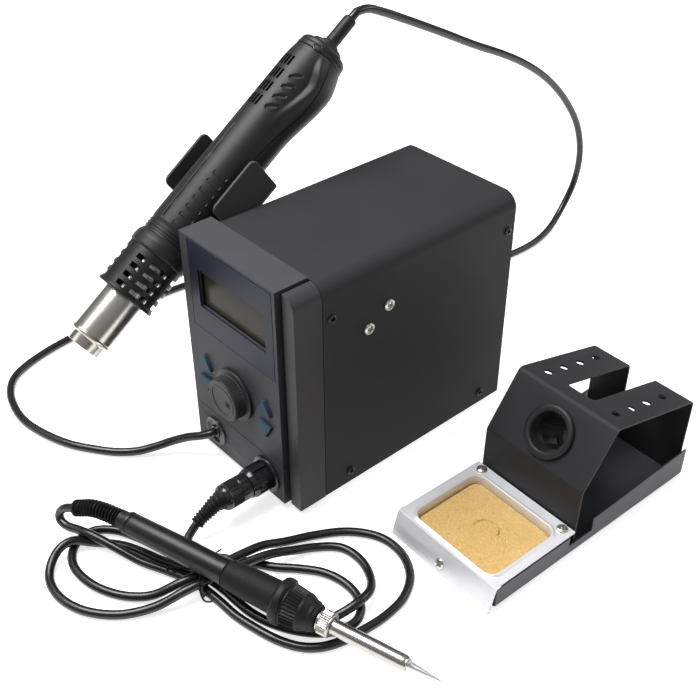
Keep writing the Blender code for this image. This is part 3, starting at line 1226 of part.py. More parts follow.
IRON_BOOT_RADIUS = 5.3 * MM
IRON_BOOT_ROUTE = [
    (32.0 * MM, -87.6 * MM, 23.4 * MM),
    (21.4 * MM, -93.1 * MM, 19.6 * MM),
]
TIE_PLACE = (94.5 * MM, -62.5 * MM)
TIE_WIDTH = 23 * MM
TIE_HEIGHT = 10.9 * MM
TIE_WIRE = 0.9 * MM
TABLE = CORD_LIFT + IRON_CORD_DIAMETER / 2

# Route of the iron's cord in millimetres, chosen by hand: from the boot to the tie, then five loops
# through it, and under the crossing to the plug. Loops cross one above the other.
IRON_CORD_ROUTE = [
    (21.0, -93.3, 19.45), (19.0, -94.3, 18.7), (14.5, -96.5, 16.6), (11.8, -98.6, 13.2), (12.8, -99.9, 9.8),
    (17.5, -99.4, 8.2), (26.0, -96.0, 8.6), (33.5, -93.2, 9.0), (49.0, -87.0, 6.4), (62.0, -81.5, 3.6),
    (77.0, -74.8, 3.8), (92.0, -69.0, 4.0), (108.0, -66.5, 3.4), (123.0, -65.2, 2.5), (136.4, -62.4, 2.5),
    (148.6, -58.6, 2.5), (158.5, -53.0, 2.5), (165.0, -45.5, 2.5), (168.8, -36.0, 2.5), (171.0, -22.6, 2.5),
    (171.5, -9.0, 2.5), (169.0, 5.0, 2.5), (161.0, 17.0, 2.5), (148.0, 24.0, 2.5), (133.0, 24.0, 2.5),
    (119.0, 15.5, 2.5), (108.0, 0.0, 2.5), (101.5, -18.0, 4.6), (98.6, -30.0, 8.0), (97.0, -42.0, 9.0),
    (95.0, -60.0, 9.2), (91.5, -76.0, 8.4), (85.0, -90.0, 3.8), (73.5, -101.0, 2.5), (58.0, -108.0, 2.5),
    (42.0, -109.0, 2.5), (32.0, -104.6, 2.5), (26.6, -97.5, 2.5), (26.0, -88.0, 2.5), (33.0, -79.5, 2.5),
    (46.0, -73.0, 2.5), (61.0, -68.2, 2.5), (77.0, -62.5, 3.2), (91.5, -57.5, 4.0), (106.0, -54.0, 3.4),
    (121.0, -50.5, 2.5), (135.0, -46.3, 2.5), (147.0, -40.5, 2.5), (155.0, -33.0, 3.6), (158.6, -25.0, 6.4),
    (159.5, -16.5, 7.8), (157.0, -7.5, 6.0), (149.0, 0.5, 2.9), (137.0, 5.0, 2.5), (124.0, 3.5, 2.5),
    (115.0, -5.5, 2.5), (110.0, -18.0, 5.0), (106.5, -30.0, 8.2), (103.0, -44.0, 9.0), (100.5, -60.0, 9.2),
    (97.5, -77.0, 8.4), (92.5, -93.0, 4.0), (83.0, -109.0, 2.5), (69.5, -120.0, 2.5), (54.0, -124.5, 2.5),
    (40.5, -122.5, 2.5), (32.5, -116.5, 4.4), (29.3, -108.5, 7.6), (29.8, -101.5, 7.4), (33.0, -94.5, 4.0),
    (39.0, -87.3, 2.5), (46.5, -81.5, 2.5), (55.5, -77.3, 2.5), (67.0, -73.0, 2.5), (79.0, -68.0, 3.2),
    (91.5, -63.2, 4.0), (106.0, -60.3, 3.4), (116.0, -59.4, 2.5), (125.0, -58.6, 2.5), (133.5, -56.6, 2.5),
    (142.0, -53.0, 2.5), (151.0, -47.4, 2.5), (158.5, -40.3, 2.5), (163.3, -32.0, 2.5), (164.5, -23.5, 2.5),
    (160.5, -16.5, 2.5), (152.0, -12.0, 2.5), (141.0, -11.5, 2.5), (130.0, -15.0, 2.5), (120.0, -22.5, 2.5),
    (111.0, -31.0, 2.5), (101.0, -38.0, 2.5), (92.0, -44.5, 2.5), (84.0, -51.0, 2.5), (77.5, -56.3, 2.5),
    (71.5, -58.0, 3.2), (66.8, -55.4, 5.2), (65.2, -50.5, 8.2), (65.0, -47.8, 10.2),
]

# Route of the gun's cord in millimetres: from the gland round the left of the unit, behind it, and up
# in a high arch to the sleeve of the gun.
GUN_CORD_ROUTE = [
    (18.0, -1.9, 17.7), (18.0, -4.2, 17.7), (14.0, -9.0, 16.2), (7.4, -13.8, 13.6), (0.5, -19.5, 9.6), (-5.5, -28.0, 6.2),
    (-12.0, -37.0, 3.6), (-21.0, -46.5, 2.6), (-32.0, -55.0, 2.6), (-45.0, -63.0, 2.6), (-63.0, -69.5, 2.6),
    (-81.0, -72.6, 2.6), (-98.0, -71.0, 2.6), (-113.0, -66.0, 2.6), (-124.0, -58.0, 2.6), (-130.5, -47.0, 2.6),
    (-136.0, -29.0, 2.6), (-139.0, -10.0, 2.6), (-141.0, 10.0, 2.6), (-143.0, 40.0, 2.6), (-143.5, 66.0, 2.6),
    (-141.0, 90.0, 2.6), (-133.0, 114.0, 2.6), (-113.0, 143.0, 2.6), (-82.0, 176.0, 2.6), (-50.0, 214.0, 2.6),
    (-28.0, 252.0, 2.6), (-16.0, 285.0, 2.6), (-14.0, 316.0, 2.6), (-19.0, 343.0, 4.0), (-23.5, 362.0, 13.0),
    (-24.0, 374.0, 31.0), (-24.0, 377.0, 53.0), (-24.0, 369.5, 79.0), (-24.0, 351.0, 105.0), (-24.0, 327.0, 128.0),
    (-24.0, 301.0, 146.0), (-24.0, 276.0, 159.5), (-24.0, 247.0, 173.0), (-24.0, 215.0, 189.0),
    (-24.0, 184.0, 204.0), (-24.0, 165.0, 212.8), (-24.0, 153.0, 217.3),
]


def cord_tie(parent, rubber):
    """A twist tie round the crossing of the loops: a flat ring that stands on the table."""
    outer = rounded(
        box_outline(-TIE_WIDTH / 2 - TIE_WIRE, 0, TIE_WIDTH / 2 + TIE_WIRE, TIE_HEIGHT + 2 * TIE_WIRE), 4 * MM, 4
    )
    inner = rounded(box_outline(-TIE_WIDTH / 2, TIE_WIRE, TIE_WIDTH / 2, TIE_HEIGHT + TIE_WIRE), 3.2 * MM, 4)
    place = (*TIE_PLACE, CORD_LIFT)
    facing = (math.radians(90), 0, math.radians(-45))
    ring = solid("cord_tie", prism(outer, -0.6 * MM, 0.6 * MM), rubber, parent, place, facing)
    combine(ring, "DIFFERENCE", "tie_opening", prism(inner, -3 * MM, 3 * MM), place, facing)


# Stand


def stand(parent, sheet_steel, bright, dark, foam, bakelite):
    """Channel base on pads, tray with its pocket, sponge, folded bracket and the iron's holder."""
    floor = PAD_HEIGHT + STAND_SHEET / 2
    left = (TRAY_WIDTH - CHANNEL_WIDTH) / 2 + STAND_SHEET / 2
    right = TRAY_WIDTH - left
    wall_top = PAD_HEIGHT + WALL_REAR_HEIGHT
    channel = folded_strip([(left, wall_top), (left, floor), (right, floor), (right, wall_top)], 1.5 * MM, STAND_SHEET, 3)
    length = CHANNEL_LENGTH - CHANNEL_FRONT
    base = solid("stand_base", prism(channel, 0, length), sheet_steel, parent, (0, CHANNEL_LENGTH, 0), ALONG_FRONT)
    high = wall_top + 10 * MM
    trimming = [
        (-5 * MM, high), (-5 * MM, PAD_HEIGHT + WALL_FRONT_HEIGHT), (NOTCH_START, PAD_HEIGHT + WALL_FRONT_HEIGHT),
        (NOTCH_START, PAD_HEIGHT + NOTCH_HEIGHT), (NOTCH_END, PAD_HEIGHT + NOTCH_HEIGHT),
        (NOTCH_END, PAD_HEIGHT + WALL_REAR_HEIGHT - 3.5 * MM), (CHANNEL_LENGTH + 1 * MM, wall_top),
        (CHANNEL_LENGTH + 1 * MM, high),
    ]
    combine(base, "DIFFERENCE", "wall_line", prism(trimming, -5 * MM, TRAY_WIDTH + 5 * MM), (0, 0, 0), ALONG_X)
    pads = joined(*(
        prism(rounded(box_outline(x, y, x + 12 * MM, y + 9 * MM), 2 * MM, 2), 0, PAD_HEIGHT + 0.4 * MM)
        for x in (5 * MM, TRAY_WIDTH - 17 * MM)
        for y in (CHANNEL_FRONT + 2 * MM, CHANNEL_LENGTH - 24 * MM)
    ))
    combine(base, "UNION", "base_pads", pads)

    half = TRAY_SHEET / 2
    tray_line = [
        (half, APRON_FOOT), (APRON_LEAN + half, TRAY_TOP - half), (TRAY_DEPTH, TRAY_TOP - half),
    ]
    tray = solid(
        "sponge_tray", prism(folded_strip(tray_line, 1.2 * MM, TRAY_SHEET, 3), 0, TRAY_WIDTH), bright, parent,
        (0, 0, 0), ALONG_X,
    )

    def pocket(margin):
        return rounded(
            box_outline(
                POCKET_LEFT - margin, POCKET_FRONT - margin, POCKET_LEFT + POCKET_WIDTH + margin,
                POCKET_FRONT + POCKET_LENGTH + margin,
            ),
            POCKET_CORNER + margin, 4,
        )

    pan_floor = TRAY_TOP - POCKET_DEPTH
    combine(
        tray, "UNION", "pocket_outside", prism(pocket(TRAY_SHEET), pan_floor - TRAY_SHEET, TRAY_TOP + POCKET_LIP)
    )
    combine(tray, "DIFFERENCE", "pocket_inside", prism(pocket(0), pan_floor, TRAY_TOP + 10 * MM))
    sponge = prism(pocket(-SPONGE_MARGIN), pan_floor + CLEARANCE, pan_floor + CLEARANCE + SPONGE_HEIGHT)
    solid("sponge", sponge, foam, parent)

    side = right - STAND_SHEET / 2 - CLEARANCE - BRACKET_WIDTH
    foot_y = BRACKET_FOOT
    line = [
        (foot_y, PAD_HEIGHT + STAND_SHEET + CLEARANCE), SLANT_FOOT, SLANT_TOP, BRACKET_REAR_TOP,
        (BRACKET_REAR_FOOT, PAD_HEIGHT + STAND_SHEET + CLEARANCE),
    ]
    bracket = solid(
        "stand_bracket", prism(folded_strip(line, BRACKET_BEND, STAND_SHEET, 3), 0, BRACKET_WIDTH), dark, parent,
        (side, 0, 0), ALONG_X,
    )
    top_y, top_z = SLANT_TOP
    rear_y, rear_z = BRACKET_REAR_TOP
    slope = math.atan2(rear_z - top_z, rear_y - top_y)
    over = Matrix.Translation((side, top_y, top_z)) @ Matrix.Rotation(slope, 4, "X")
    reach = 120 * MM
    slot = moved(
        prism(
            rounded(box_outline(SLOT_SIDE, SLOT_START, BRACKET_WIDTH - SLOT_SIDE, reach), 3 * MM, 3),
            -SLOT_DEPTH, 20 * MM,
        ),
        over,
    )
    combine(bracket, "DIFFERENCE", "rear_slot", slot)
    holes = joined(*(
        moved(prism(circle(REST_HOLE_DIAMETER / 2, (x, along), 12), -6 * MM, 6 * MM), over)
        for x in (REST_HOLE_INSET, BRACKET_WIDTH - REST_HOLE_INSET)
        for along in REST_HOLE_STEPS
    ))
    combine(bracket, "DIFFERENCE", "rest_holes", holes)

    foot = Vector(SLANT_FOOT)
    slant = (Vector(SLANT_TOP) - foot).normalized()
    centre = foot + slant * HOLDER_ALONG
    tilt = math.atan2(slant.y, slant.x)
    middle = side + BRACKET_WIDTH / 2 + 0.7 * MM
    place = (middle, centre.x, centre.y)
    facing = (tilt, 0, 0)  # local Z points out of the slanted plate, to the front and up
    combine(
        bracket, "DIFFERENCE", "holder_hole",
        prism(circle(HOLDER_TUBE_RADIUS + CLEARANCE, steps=28), -6 * MM, 6 * MM), place, facing,
    )
    face = STAND_SHEET / 2 + CLEARANCE
    inner = HOLDER_TUBE_RADIUS - HOLDER_TUBE_WALL - CLEARANCE
    funnel = turned([
        (HOLDER_MOUTH, face + 2.4 * MM), (HOLDER_RADIUS - 0.8 * MM, face + 2.4 * MM), (HOLDER_RADIUS, face + 1.6 * MM),
        (HOLDER_RADIUS, face), (inner, face), (inner, -8 * MM), (inner - 1.4 * MM, -8 * MM),
        (inner - 1.4 * MM, -2 * MM),
    ], 20)
    solid("holder_funnel", funnel, bakelite, parent, place, facing)
    tube = solid("holder_tube", turned(tube_profile(
        HOLDER_TUBE_RADIUS - HOLDER_TUBE_WALL, HOLDER_TUBE_RADIUS, -HOLDER_TUBE_LENGTH, face - CLEARANCE,
    ), 24), dark, parent, place, facing)
    slots = joined(*(
        moved(
            prism(box_outline(6 * MM, -2 * MM, 16 * MM, 2 * MM), -HOLDER_TUBE_LENGTH + 6 * MM, -10 * MM),
            Matrix.Rotation(math.radians(45 + 90 * quarter), 4, "Z"),
        )
        for quarter in range(4)
    ))
    combine(tube, "DIFFERENCE", "tube_slots", slots, place, facing)


BRACKET_FOOT = TRAY_DEPTH + CLEARANCE + STAND_SHEET / 2


def ground_to_centre(root, cords):
    """Moves the root so that the middle of all rigid pieces' box stands over the origin, on Z = 0."""
    bpy.context.view_layer.update()
    graph = bpy.context.evaluated_depsgraph_get()
    low = np.full(3, np.inf)
    high = np.full(3, -np.inf)
    for item in bpy.context.scene.objects:
        if item.type != "MESH" or item.hide_render or item.name in cords:
            continue
        seen = item.evaluated_get(graph)
        mesh = seen.to_mesh()
        points = np.array([tuple(seen.matrix_world @ vertex.co) for vertex in mesh.vertices])
        seen.to_mesh_clear()
        low = np.minimum(low, points.min(axis=0))
        high = np.maximum(high, points.max(axis=0))
    root.location = (-(low[0] + high[0]) / 2, -(low[1] + high[1]) / 2, -low[2])
    bpy.context.view_layer.update()


def build():
    for item in list(bpy.data.objects):
        bpy.data.objects.remove(item)

    painted = material("painted_steel", (0.042, 0.043, 0.047), 0.62, 0.2)
    cradle_paint = material("cradle_paint", (0.035, 0.036, 0.038), 0.6, 0.2)
    zinc = material("zinc_plated_steel", (0.55, 0.56, 0.58), 0.4, 1.0)
    bezel_plastic = material("bezel_plastic", (0.085, 0.085, 0.092), 0.55)
    dark_plastic = material("dark_plastic", (0.05, 0.05, 0.053), 0.5)
    gun_plastic = material("gun_plastic", (0.022, 0.022, 0.025), 0.42)
    gloss_black = material("gloss_black", (0.012, 0.012, 0.014), 0.18)
    rubber = material("black_rubber", (0.014, 0.014, 0.015), 0.6)
    navy = material("overlay_film", (0.032, 0.034, 0.06), 0.35)
    lcd = material("lcd_glass", (0.062, 0.06, 0.042), 0.12)
    board = material("circuit_board", (0.03, 0.16, 0.06), 0.5)
    blue = material("button_blue", (0.05, 0.17, 0.29), 0.45)
    chrome = material("chrome", (0.75, 0.75, 0.77), 0.12, 1.0)
    steel = material("bright_steel", (0.62, 0.63, 0.65), 0.3, 1.0)
    brass = material("brass", (0.7, 0.55, 0.28), 0.35, 1.0)
    lamination = material("core_laminations", (0.2, 0.2, 0.21), 0.5, 0.8)
    copper = material("coil_copper", (0.62, 0.3, 0.15), 0.4, 0.9)
    ceramic = material("ceramic", (0.75, 0.73, 0.68), 0.7)
    tray_metal = material("tray_metal", (0.7, 0.7, 0.73), 0.32, 0.9)
    channel_paint = material("channel_paint", (0.06, 0.06, 0.07), 0.5, 0.3)
    foam = material("sponge_yellow", (0.84, 0.62, 0.28), 0.95)

    root = empty("rework_station", (0, 0, 0))
    unit = empty("unit", (0, 0, 0), parent=root)
    gun_axis = empty("gun_axis", GUN_ORIGIN, (GUN_TILT - math.pi / 2, 0, 0), unit)
    iron_axis = empty("iron_axis", IRON_REAR, (0, math.pi / 2 + IRON_DIP, IRON_YAW), root)
    stand_place = empty("stand_place", (*STAND_PLACE, 0), (0, 0, STAND_YAW), root)

    case(unit, painted, zinc, rubber)
    rear(unit, painted, dark_plastic)
    inside(unit, board, lamination, copper)
    panel = front(unit, bezel_plastic, dark_plastic, navy, lcd, board)
    controls(unit, blue, gun_plastic, steel, brass)
    connectors(unit, panel, gloss_black, rubber)
    cradle(gun_axis, cradle_paint)
    gun(gun_axis, chrome, ceramic, gun_plastic, steel, rubber)
    bpy.context.view_layer.update()
    iron(iron_axis, gun_plastic, rubber, chrome, ceramic)
    cord_tie(root, rubber)
    stand(stand_place, channel_paint, tray_metal, painted, foam, gloss_black)

    iron_route = [Vector(point) * MM for point in IRON_CORD_ROUTE]
    cord("iron_cord", iron_route, IRON_CORD_DIAMETER, rubber, root)
    direction = Vector((0, math.cos(GUN_TILT), math.sin(GUN_TILT)))
    leaving = [Vector(GUN_ORIGIN) + direction * (SLEEVE_END + CLEARANCE + extra) for extra in (5 * MM, 0)]
    gun_route = [Vector(point) * MM for point in GUN_CORD_ROUTE] + leaving
    cord("gun_cord", gun_route, GUN_CORD_DIAMETER, rubber, root)
    ground_to_centre(root, ("gun_cord", "iron_cord", "cord_tie"))


build()
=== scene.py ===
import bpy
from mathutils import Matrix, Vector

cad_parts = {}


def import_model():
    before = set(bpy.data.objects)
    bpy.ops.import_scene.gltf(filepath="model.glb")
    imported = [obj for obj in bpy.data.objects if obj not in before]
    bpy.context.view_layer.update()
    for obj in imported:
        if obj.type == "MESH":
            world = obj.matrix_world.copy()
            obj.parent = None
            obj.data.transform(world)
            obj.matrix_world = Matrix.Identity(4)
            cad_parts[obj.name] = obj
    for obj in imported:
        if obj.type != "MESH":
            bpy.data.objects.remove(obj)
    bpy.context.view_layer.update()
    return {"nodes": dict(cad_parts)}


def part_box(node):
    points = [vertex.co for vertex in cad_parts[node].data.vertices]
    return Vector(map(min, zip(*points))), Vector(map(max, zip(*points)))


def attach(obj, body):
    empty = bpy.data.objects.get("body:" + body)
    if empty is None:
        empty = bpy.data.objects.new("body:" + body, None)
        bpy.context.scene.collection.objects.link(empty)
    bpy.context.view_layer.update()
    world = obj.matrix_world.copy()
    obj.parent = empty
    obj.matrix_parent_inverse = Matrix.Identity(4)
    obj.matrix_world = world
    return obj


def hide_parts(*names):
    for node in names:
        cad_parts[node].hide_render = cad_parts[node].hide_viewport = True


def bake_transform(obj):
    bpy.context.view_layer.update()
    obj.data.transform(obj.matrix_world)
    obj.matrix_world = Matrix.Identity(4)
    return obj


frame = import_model()

import math

import bmesh
import bpy
import numpy as np
from mathutils import Matrix, Vector

# Camera, table and light
# The station stands on a plain white table under soft studio light. The camera looks down on its front
# right corner. Sizes are in millimetres from the unit's front left corner on the table.
MM = 0.001
FRONT_DEPTH = 21.3
cover_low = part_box("case_cover")[0]
UNIT = np.array([cover_low.x, cover_low.y - FRONT_DEPTH * MM, 0.0])


def world(points):
    """Millimetres from the unit's front left corner on the table, as metres in the scene."""
    return np.asarray(points, float) * MM + UNIT


AZIMUTH, ELEVATION, ROLL = math.radians(48.47), math.radians(36.60), math.radians(-0.05)
back = np.array([
    math.sin(AZIMUTH) * math.cos(ELEVATION), -math.cos(AZIMUTH) * math.cos(ELEVATION), math.sin(ELEVATION)
])
right = np.array([math.cos(AZIMUTH), math.sin(AZIMUTH), 0.0])
up = np.cross(back, right)
rolled_right = math.cos(ROLL) * right + math.sin(ROLL) * up
rolled_up = -math.sin(ROLL) * right + math.cos(ROLL) * up
lens = bpy.data.cameras.new("camera")
SENSOR_WIDTH = 36.0
FOCAL_IN_WIDTHS = 1047.96 / 700
lens.sensor_width = SENSOR_WIDTH
lens.lens = SENSOR_WIDTH * FOCAL_IN_WIDTHS
lens.clip_start = 0.01
camera = bpy.data.objects.new("camera", lens)
eye = world((412.04, -246.33, 415.80))
camera.matrix_world = Matrix([
    [*row, place] for row, place in zip(np.stack([rolled_right, rolled_up, back], axis=1), eye)
] + [[0, 0, 0, 1]])
bpy.context.scene.collection.objects.link(camera)
bpy.context.scene.camera = camera
bpy.context.scene.view_settings.view_transform = "Standard"

table_mesh = bpy.data.meshes.new("table")
table_mesh.from_pydata([(-8, -8, 0), (8, -8, 0), (8, 8, 0), (-8, 8, 0)], [], [(0, 1, 2, 3)])
table = bpy.data.objects.new("table", table_mesh)
bpy.context.scene.collection.objects.link(table)
table_white = bpy.data.materials.new("table_white")
table_white.use_nodes = True
for socket, value in {
    "Base Color": (0.8, 0.8, 0.8, 1), "Roughness": 0.9, "Specular IOR Level": 0.0,
    "Emission Color": (1.0, 1.0, 1.0, 1), "Emission Strength": 0.7,
}.items():
    table_white.node_tree.nodes["Principled BSDF"].inputs[socket].default_value = value
table_mesh.materials.append(table_white)
table.visible_diffuse = False

sky = bpy.data.worlds.new("studio")
bpy.context.scene.world = sky
sky.use_nodes = True
backdrop = sky.node_tree.nodes["Background"]
backdrop.inputs["Strength"].default_value = 0.36
sky_place = sky.node_tree.nodes.new("ShaderNodeTexCoord")
height = sky.node_tree.nodes.new("ShaderNodeSeparateXYZ")
fade = sky.node_tree.nodes.new("ShaderNodeMapRange")
fade.inputs["From Min"].default_value = -0.1
fade.inputs["From Max"].default_value = 0.75
fade.inputs["To Min"].default_value = 0.3
sky.node_tree.links.new(sky_place.outputs["Generated"], height.inputs[0])
sky.node_tree.links.new(height.outputs["Z"], fade.inputs["Value"])
sky.node_tree.links.new(fade.outputs["Result"], backdrop.inputs["Color"])


def softbox(name, place, aim, size, power):
    """A square area light at a place in metres, turned towards the point it lights."""
    light = bpy.data.lights.new(name, "AREA")
    light.shape = "RECTANGLE"
    light.size, light.size_y = size
    light.energy = power
    holder = bpy.data.objects.new(name, light)
    holder.location = place
    holder.rotation_euler = (Vector(aim) - Vector(place)).to_track_quat("-Z", "Y").to_euler()
    bpy.context.scene.collection.objects.link(holder)


softbox("top_light", (-0.35, -0.25, 1.25), (0, 0, 0), (0.75, 0.75), 24)
softbox("front_light", (-0.75, -1.05, 0.75), (0, 0, 0.08), (0.6, 0.6), 1.8)
softbox("rim_light", (0.5, 1.1, 0.8), (0, 0, 0.08), (0.9, 0.4), 4)


# Finishes and shapes
# The sections below share these: procedural materials, smooth lines, swept skins and finished pieces.
class Wire:
    """One output of a material's node: Python's operators on wires and numbers add Math nodes."""

    def __init__(self, finish, socket):
        self.finish = finish
        self.socket = socket

    def math(self, operation, first, second=0.0):
        return self.finish.node("ShaderNodeMath", {"operation": operation}, {0: first, 1: second})

    def __add__(self, other):
        return self.math("ADD", self, other)

    __radd__ = __add__

    def __sub__(self, other):
        return self.math("SUBTRACT", self, other)

    def __rsub__(self, other):
        return self.math("SUBTRACT", other, self)

    def __mul__(self, other):
        return self.math("MULTIPLY", self, other)

    __rmul__ = __mul__

    def above(self, other):
        return self.math("GREATER_THAN", self, other)


class Finish:
    """A procedural material: constants sit on the shader's own sockets, and nodes vary the rest."""

    def __init__(self, name, slot, **constants):
        self.slot = slot
        self.material = bpy.data.materials.new(name)
        self.material.use_nodes = True
        self.tree = self.material.node_tree
        self.shader = self.tree.nodes["Principled BSDF"]
        for socket, value in constants.items():
            self.shader.inputs[socket.replace("_", " ")].default_value = value
        self.place = self.node("ShaderNodeTexCoord", output="Object")

    def node(self, kind, settings=None, inputs=None, output=0):
        """Adds a node: its settings first, then the values or wires of its sockets."""
        made = self.tree.nodes.new(kind)
        for key, value in (settings or {}).items():
            if key == "stops":
                for stop, (position, colour) in zip(made.color_ramp.elements, value):
                    stop.position = position
                    stop.color = colour
            else:
                setattr(made, key, value)
        for key, value in (inputs or {}).items():
            if isinstance(value, Wire):
                self.tree.links.new(value.socket, made.inputs[key])
            else:
                made.inputs[key].default_value = value
        return Wire(self, made.outputs[output])

    def noise(self, millimetres, detail=2.0, roughness=0.55, at=None):
        """Noise from 0 to 1 whose grains are about this many millimetres across."""
        return self.node(
            "ShaderNodeTexNoise", None,
            {
                "Vector": at or self.place, "Scale": 1000.0 / millimetres,
                "Detail": detail, "Roughness": roughness,
            },
        )

    def streaks(self, scale, rotation=(0, 0, 0)):
        """Fine noise whose grains are drawn out along the direction of the smallest scale."""
        turned_place = self.node(
            "ShaderNodeMapping", None, {"Vector": self.place, "Rotation": rotation, "Scale": scale}
        )
        return self.noise(0.5, 3, 0.6, turned_place)

    def along(self, direction):
        """The distance along a direction, in metres."""
        return self.node(
            "ShaderNodeVectorMath", {"operation": "DOT_PRODUCT"},
            {0: self.place, 1: tuple(direction)}, "Value",
        )

    def blend(self, amount, first, second):
        """The first colour where amount is 0 and the second where it is 1."""
        first, second = ((*side, 1) if isinstance(side, tuple) else side for side in (first, second))
        sockets = {"Factor": amount, 6: first, 7: second}
        return self.node("ShaderNodeMix", {"data_type": "RGBA"}, sockets, 2)

    def colour(self, wire):
        self.tree.links.new(wire.socket, self.shader.inputs["Base Color"])

    def rough(self, wire):
        self.tree.links.new(wire.socket, self.shader.inputs["Roughness"])

    def relief(self, height, millimetres, strength=1.0):
        """Bumps of this height on the surface, from a wire between 0 and 1."""
        sockets = {"Height": height, "Distance": millimetres * MM, "Strength": strength}
        bump = self.node("ShaderNodeBump", None, sockets)
        self.tree.links.new(bump.socket, self.shader.inputs["Normal"])


def mottled(name, slot, dark, light, patches, gloss, bumps=None, **constants):
    """A finish that drifts from dark to light in patches of (size, detail). Its gloss is (size, detail,
    spread, least roughness), and its bumps, if any, are (size, detail, depth) or have one more number
    before the depth, the roughness of the noise."""
    finish = Finish(name, slot, **constants)
    finish.colour(finish.blend(finish.noise(*patches), dark, light))
    size, detail, spread, least = gloss
    finish.rough(finish.noise(size, detail) * spread + least)
    if bumps:
        finish.relief(finish.noise(*bumps[:-1]), bumps[-1])
    return finish


def cord_jacket(name, slot, colour, gloss):
    """Black extruded jacket: a soft gloss that changes a little along it, with fine waves and dust."""
    jacket = Finish(name, slot, IOR=1.5)
    cloudy = jacket.noise(9, 3)
    jacket.colour(jacket.blend(jacket.noise(2.5, 4), colour, tuple(1.7 * c + 0.002 for c in colour)))
    jacket.rough(cloudy * 0.16 + gloss)
    jacket.relief(jacket.noise(1.4, 3), 0.05)
    return jacket


def smooth_route(points, spacing):
    """Points at this spacing, in millimetres, on a centripetal Catmull-Rom curve: each stretch blends three
    straight lines between knots that are the square root of the distance apart."""
    route = np.asarray(points, float)
    route = np.vstack([2 * route[0] - route[1], route, 2 * route[-1] - route[-2]])
    knots = np.concatenate([[0.0], np.cumsum(np.sqrt(np.linalg.norm(np.diff(route, axis=0), axis=1)))])
    parts = []
    share = np.linspace(0, 1, 24, endpoint=False)[:, None]
    for a, b, c, d, k0, k1, k2, k3 in zip(
        route, route[1:], route[2:], route[3:], knots, knots[1:], knots[2:], knots[3:]
    ):
        t = k1 + (k2 - k1) * share
        ab = (a * (k1 - t) + b * (t - k0)) / (k1 - k0)
        bc = (b * (k2 - t) + c * (t - k1)) / (k2 - k1)
        cd = (c * (k3 - t) + d * (t - k2)) / (k3 - k2)
        abc = (ab * (k2 - t) + bc * (t - k0)) / (k2 - k0)
        bcd = (bc * (k3 - t) + cd * (t - k1)) / (k3 - k1)
        parts.append((abc * (k2 - t) + bcd * (t - k1)) / (k2 - k1))
    dense = np.vstack([*parts, route[-2]])
    run = np.concatenate([[0.0], np.cumsum(np.linalg.norm(np.diff(dense, axis=0), axis=1))])
    wanted = np.linspace(0, run[-1], max(2, round(run[-1] / spacing) + 1))
    return np.stack([np.interp(wanted, run, dense[:, axis]) for axis in range(3)], axis=1)


def woven(grid, around=False, along=False):
    """A grid of points, rows by columns by 3, as points and four-sided faces. Around joins the last column
    to the first, along the last row to the first."""
    rows, columns = grid.shape[:2]
    index = np.arange(rows * columns).reshape(rows, columns)
    if around:
        index = np.hstack([index, index[:, :1]])
    if along:
        index = np.vstack([index, index[:1]])
    faces = np.stack([index[:-1, :-1], index[:-1, 1:], index[1:, 1:], index[1:, :-1]], axis=-1)
    return grid.reshape(-1, 3), faces.reshape(-1, 4)


def swept(path, radius, sides=24):
    """A round skin on a path with a closed pole at each end: each point of the path carries a circle square
    to it, and the circle's zero direction is carried along without twisting."""
    path = np.asarray(path, float)
    radius = np.broadcast_to(radius, len(path)).astype(float)
    along = np.gradient(path, axis=0)
    along /= np.linalg.norm(along, axis=1)[:, None]
    side = np.cross(along[0], (0.0, 0.0, 1.0) if abs(along[0][2]) < 0.9 else (1.0, 0.0, 0.0))
    sides_of = []
    for direction in along:
        side = side - direction * side.dot(direction)
        side = side / np.linalg.norm(side)
        sides_of.append(side)
    side = np.array(sides_of)
    other = np.cross(along, side)
    angle = np.linspace(0, 2 * np.pi, sides, endpoint=False)[None, :, None]
    spokes = np.cos(angle) * side[:, None] + np.sin(angle) * other[:, None]
    rings = path[:, None] + radius[:, None, None] * spokes
    ends = [np.broadcast_to(point, rings[:1].shape) for point in (path[0], path[-1])]
    return woven(np.vstack([ends[0], rings, ends[1]]), around=True)


def joined(*shapes):
    """Several (points, faces) shapes as one."""
    starts = np.cumsum([0] + [len(points) for points, _ in shapes])
    return np.vstack([points for points, _ in shapes]), np.vstack([
        faces + start for (_, faces), start in zip(shapes, starts)
    ])


def round_edges(made, name, width, segments=2):
    """Rounds the object's sharp edges by this width in millimetres."""
    edge = made.modifiers.new(name, "BEVEL")
    edge.width = width * MM
    edge.segments = segments
    edge.limit_method = "ANGLE"
    edge.angle_limit = math.radians(40)
    edge.harden_normals = True
    edge.use_clamp_overlap = True


def piece(name, shape, finish, body, *nodes, crease=38, bevel=None):
    """One finished piece from points in metres and faces: its seams and poles merged, faces outward, smooth
    up to the crease angle, riding on a body, and standing for the CAD nodes that it replaces."""
    points, faces = shape
    mesh = bpy.data.meshes.new(name)
    mesh.from_pydata(points.tolist(), [], faces.tolist())
    work = bmesh.new()
    work.from_mesh(mesh)
    bmesh.ops.remove_doubles(work, verts=work.verts, dist=2e-6)
    bmesh.ops.recalc_face_normals(work, faces=work.faces)
    work.to_mesh(mesh)
    work.free()
    mesh.shade_smooth()
    mesh.set_sharp_from_angle(angle=math.radians(crease))
    mesh.materials.append(finish.material)
    made = bpy.data.objects.new(name, mesh)
    bpy.context.scene.collection.objects.link(made)
    if bevel:
        round_edges(made, "edge", bevel)
    if body:
        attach(made, body)
    if nodes:
        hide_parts(*nodes)
    return made


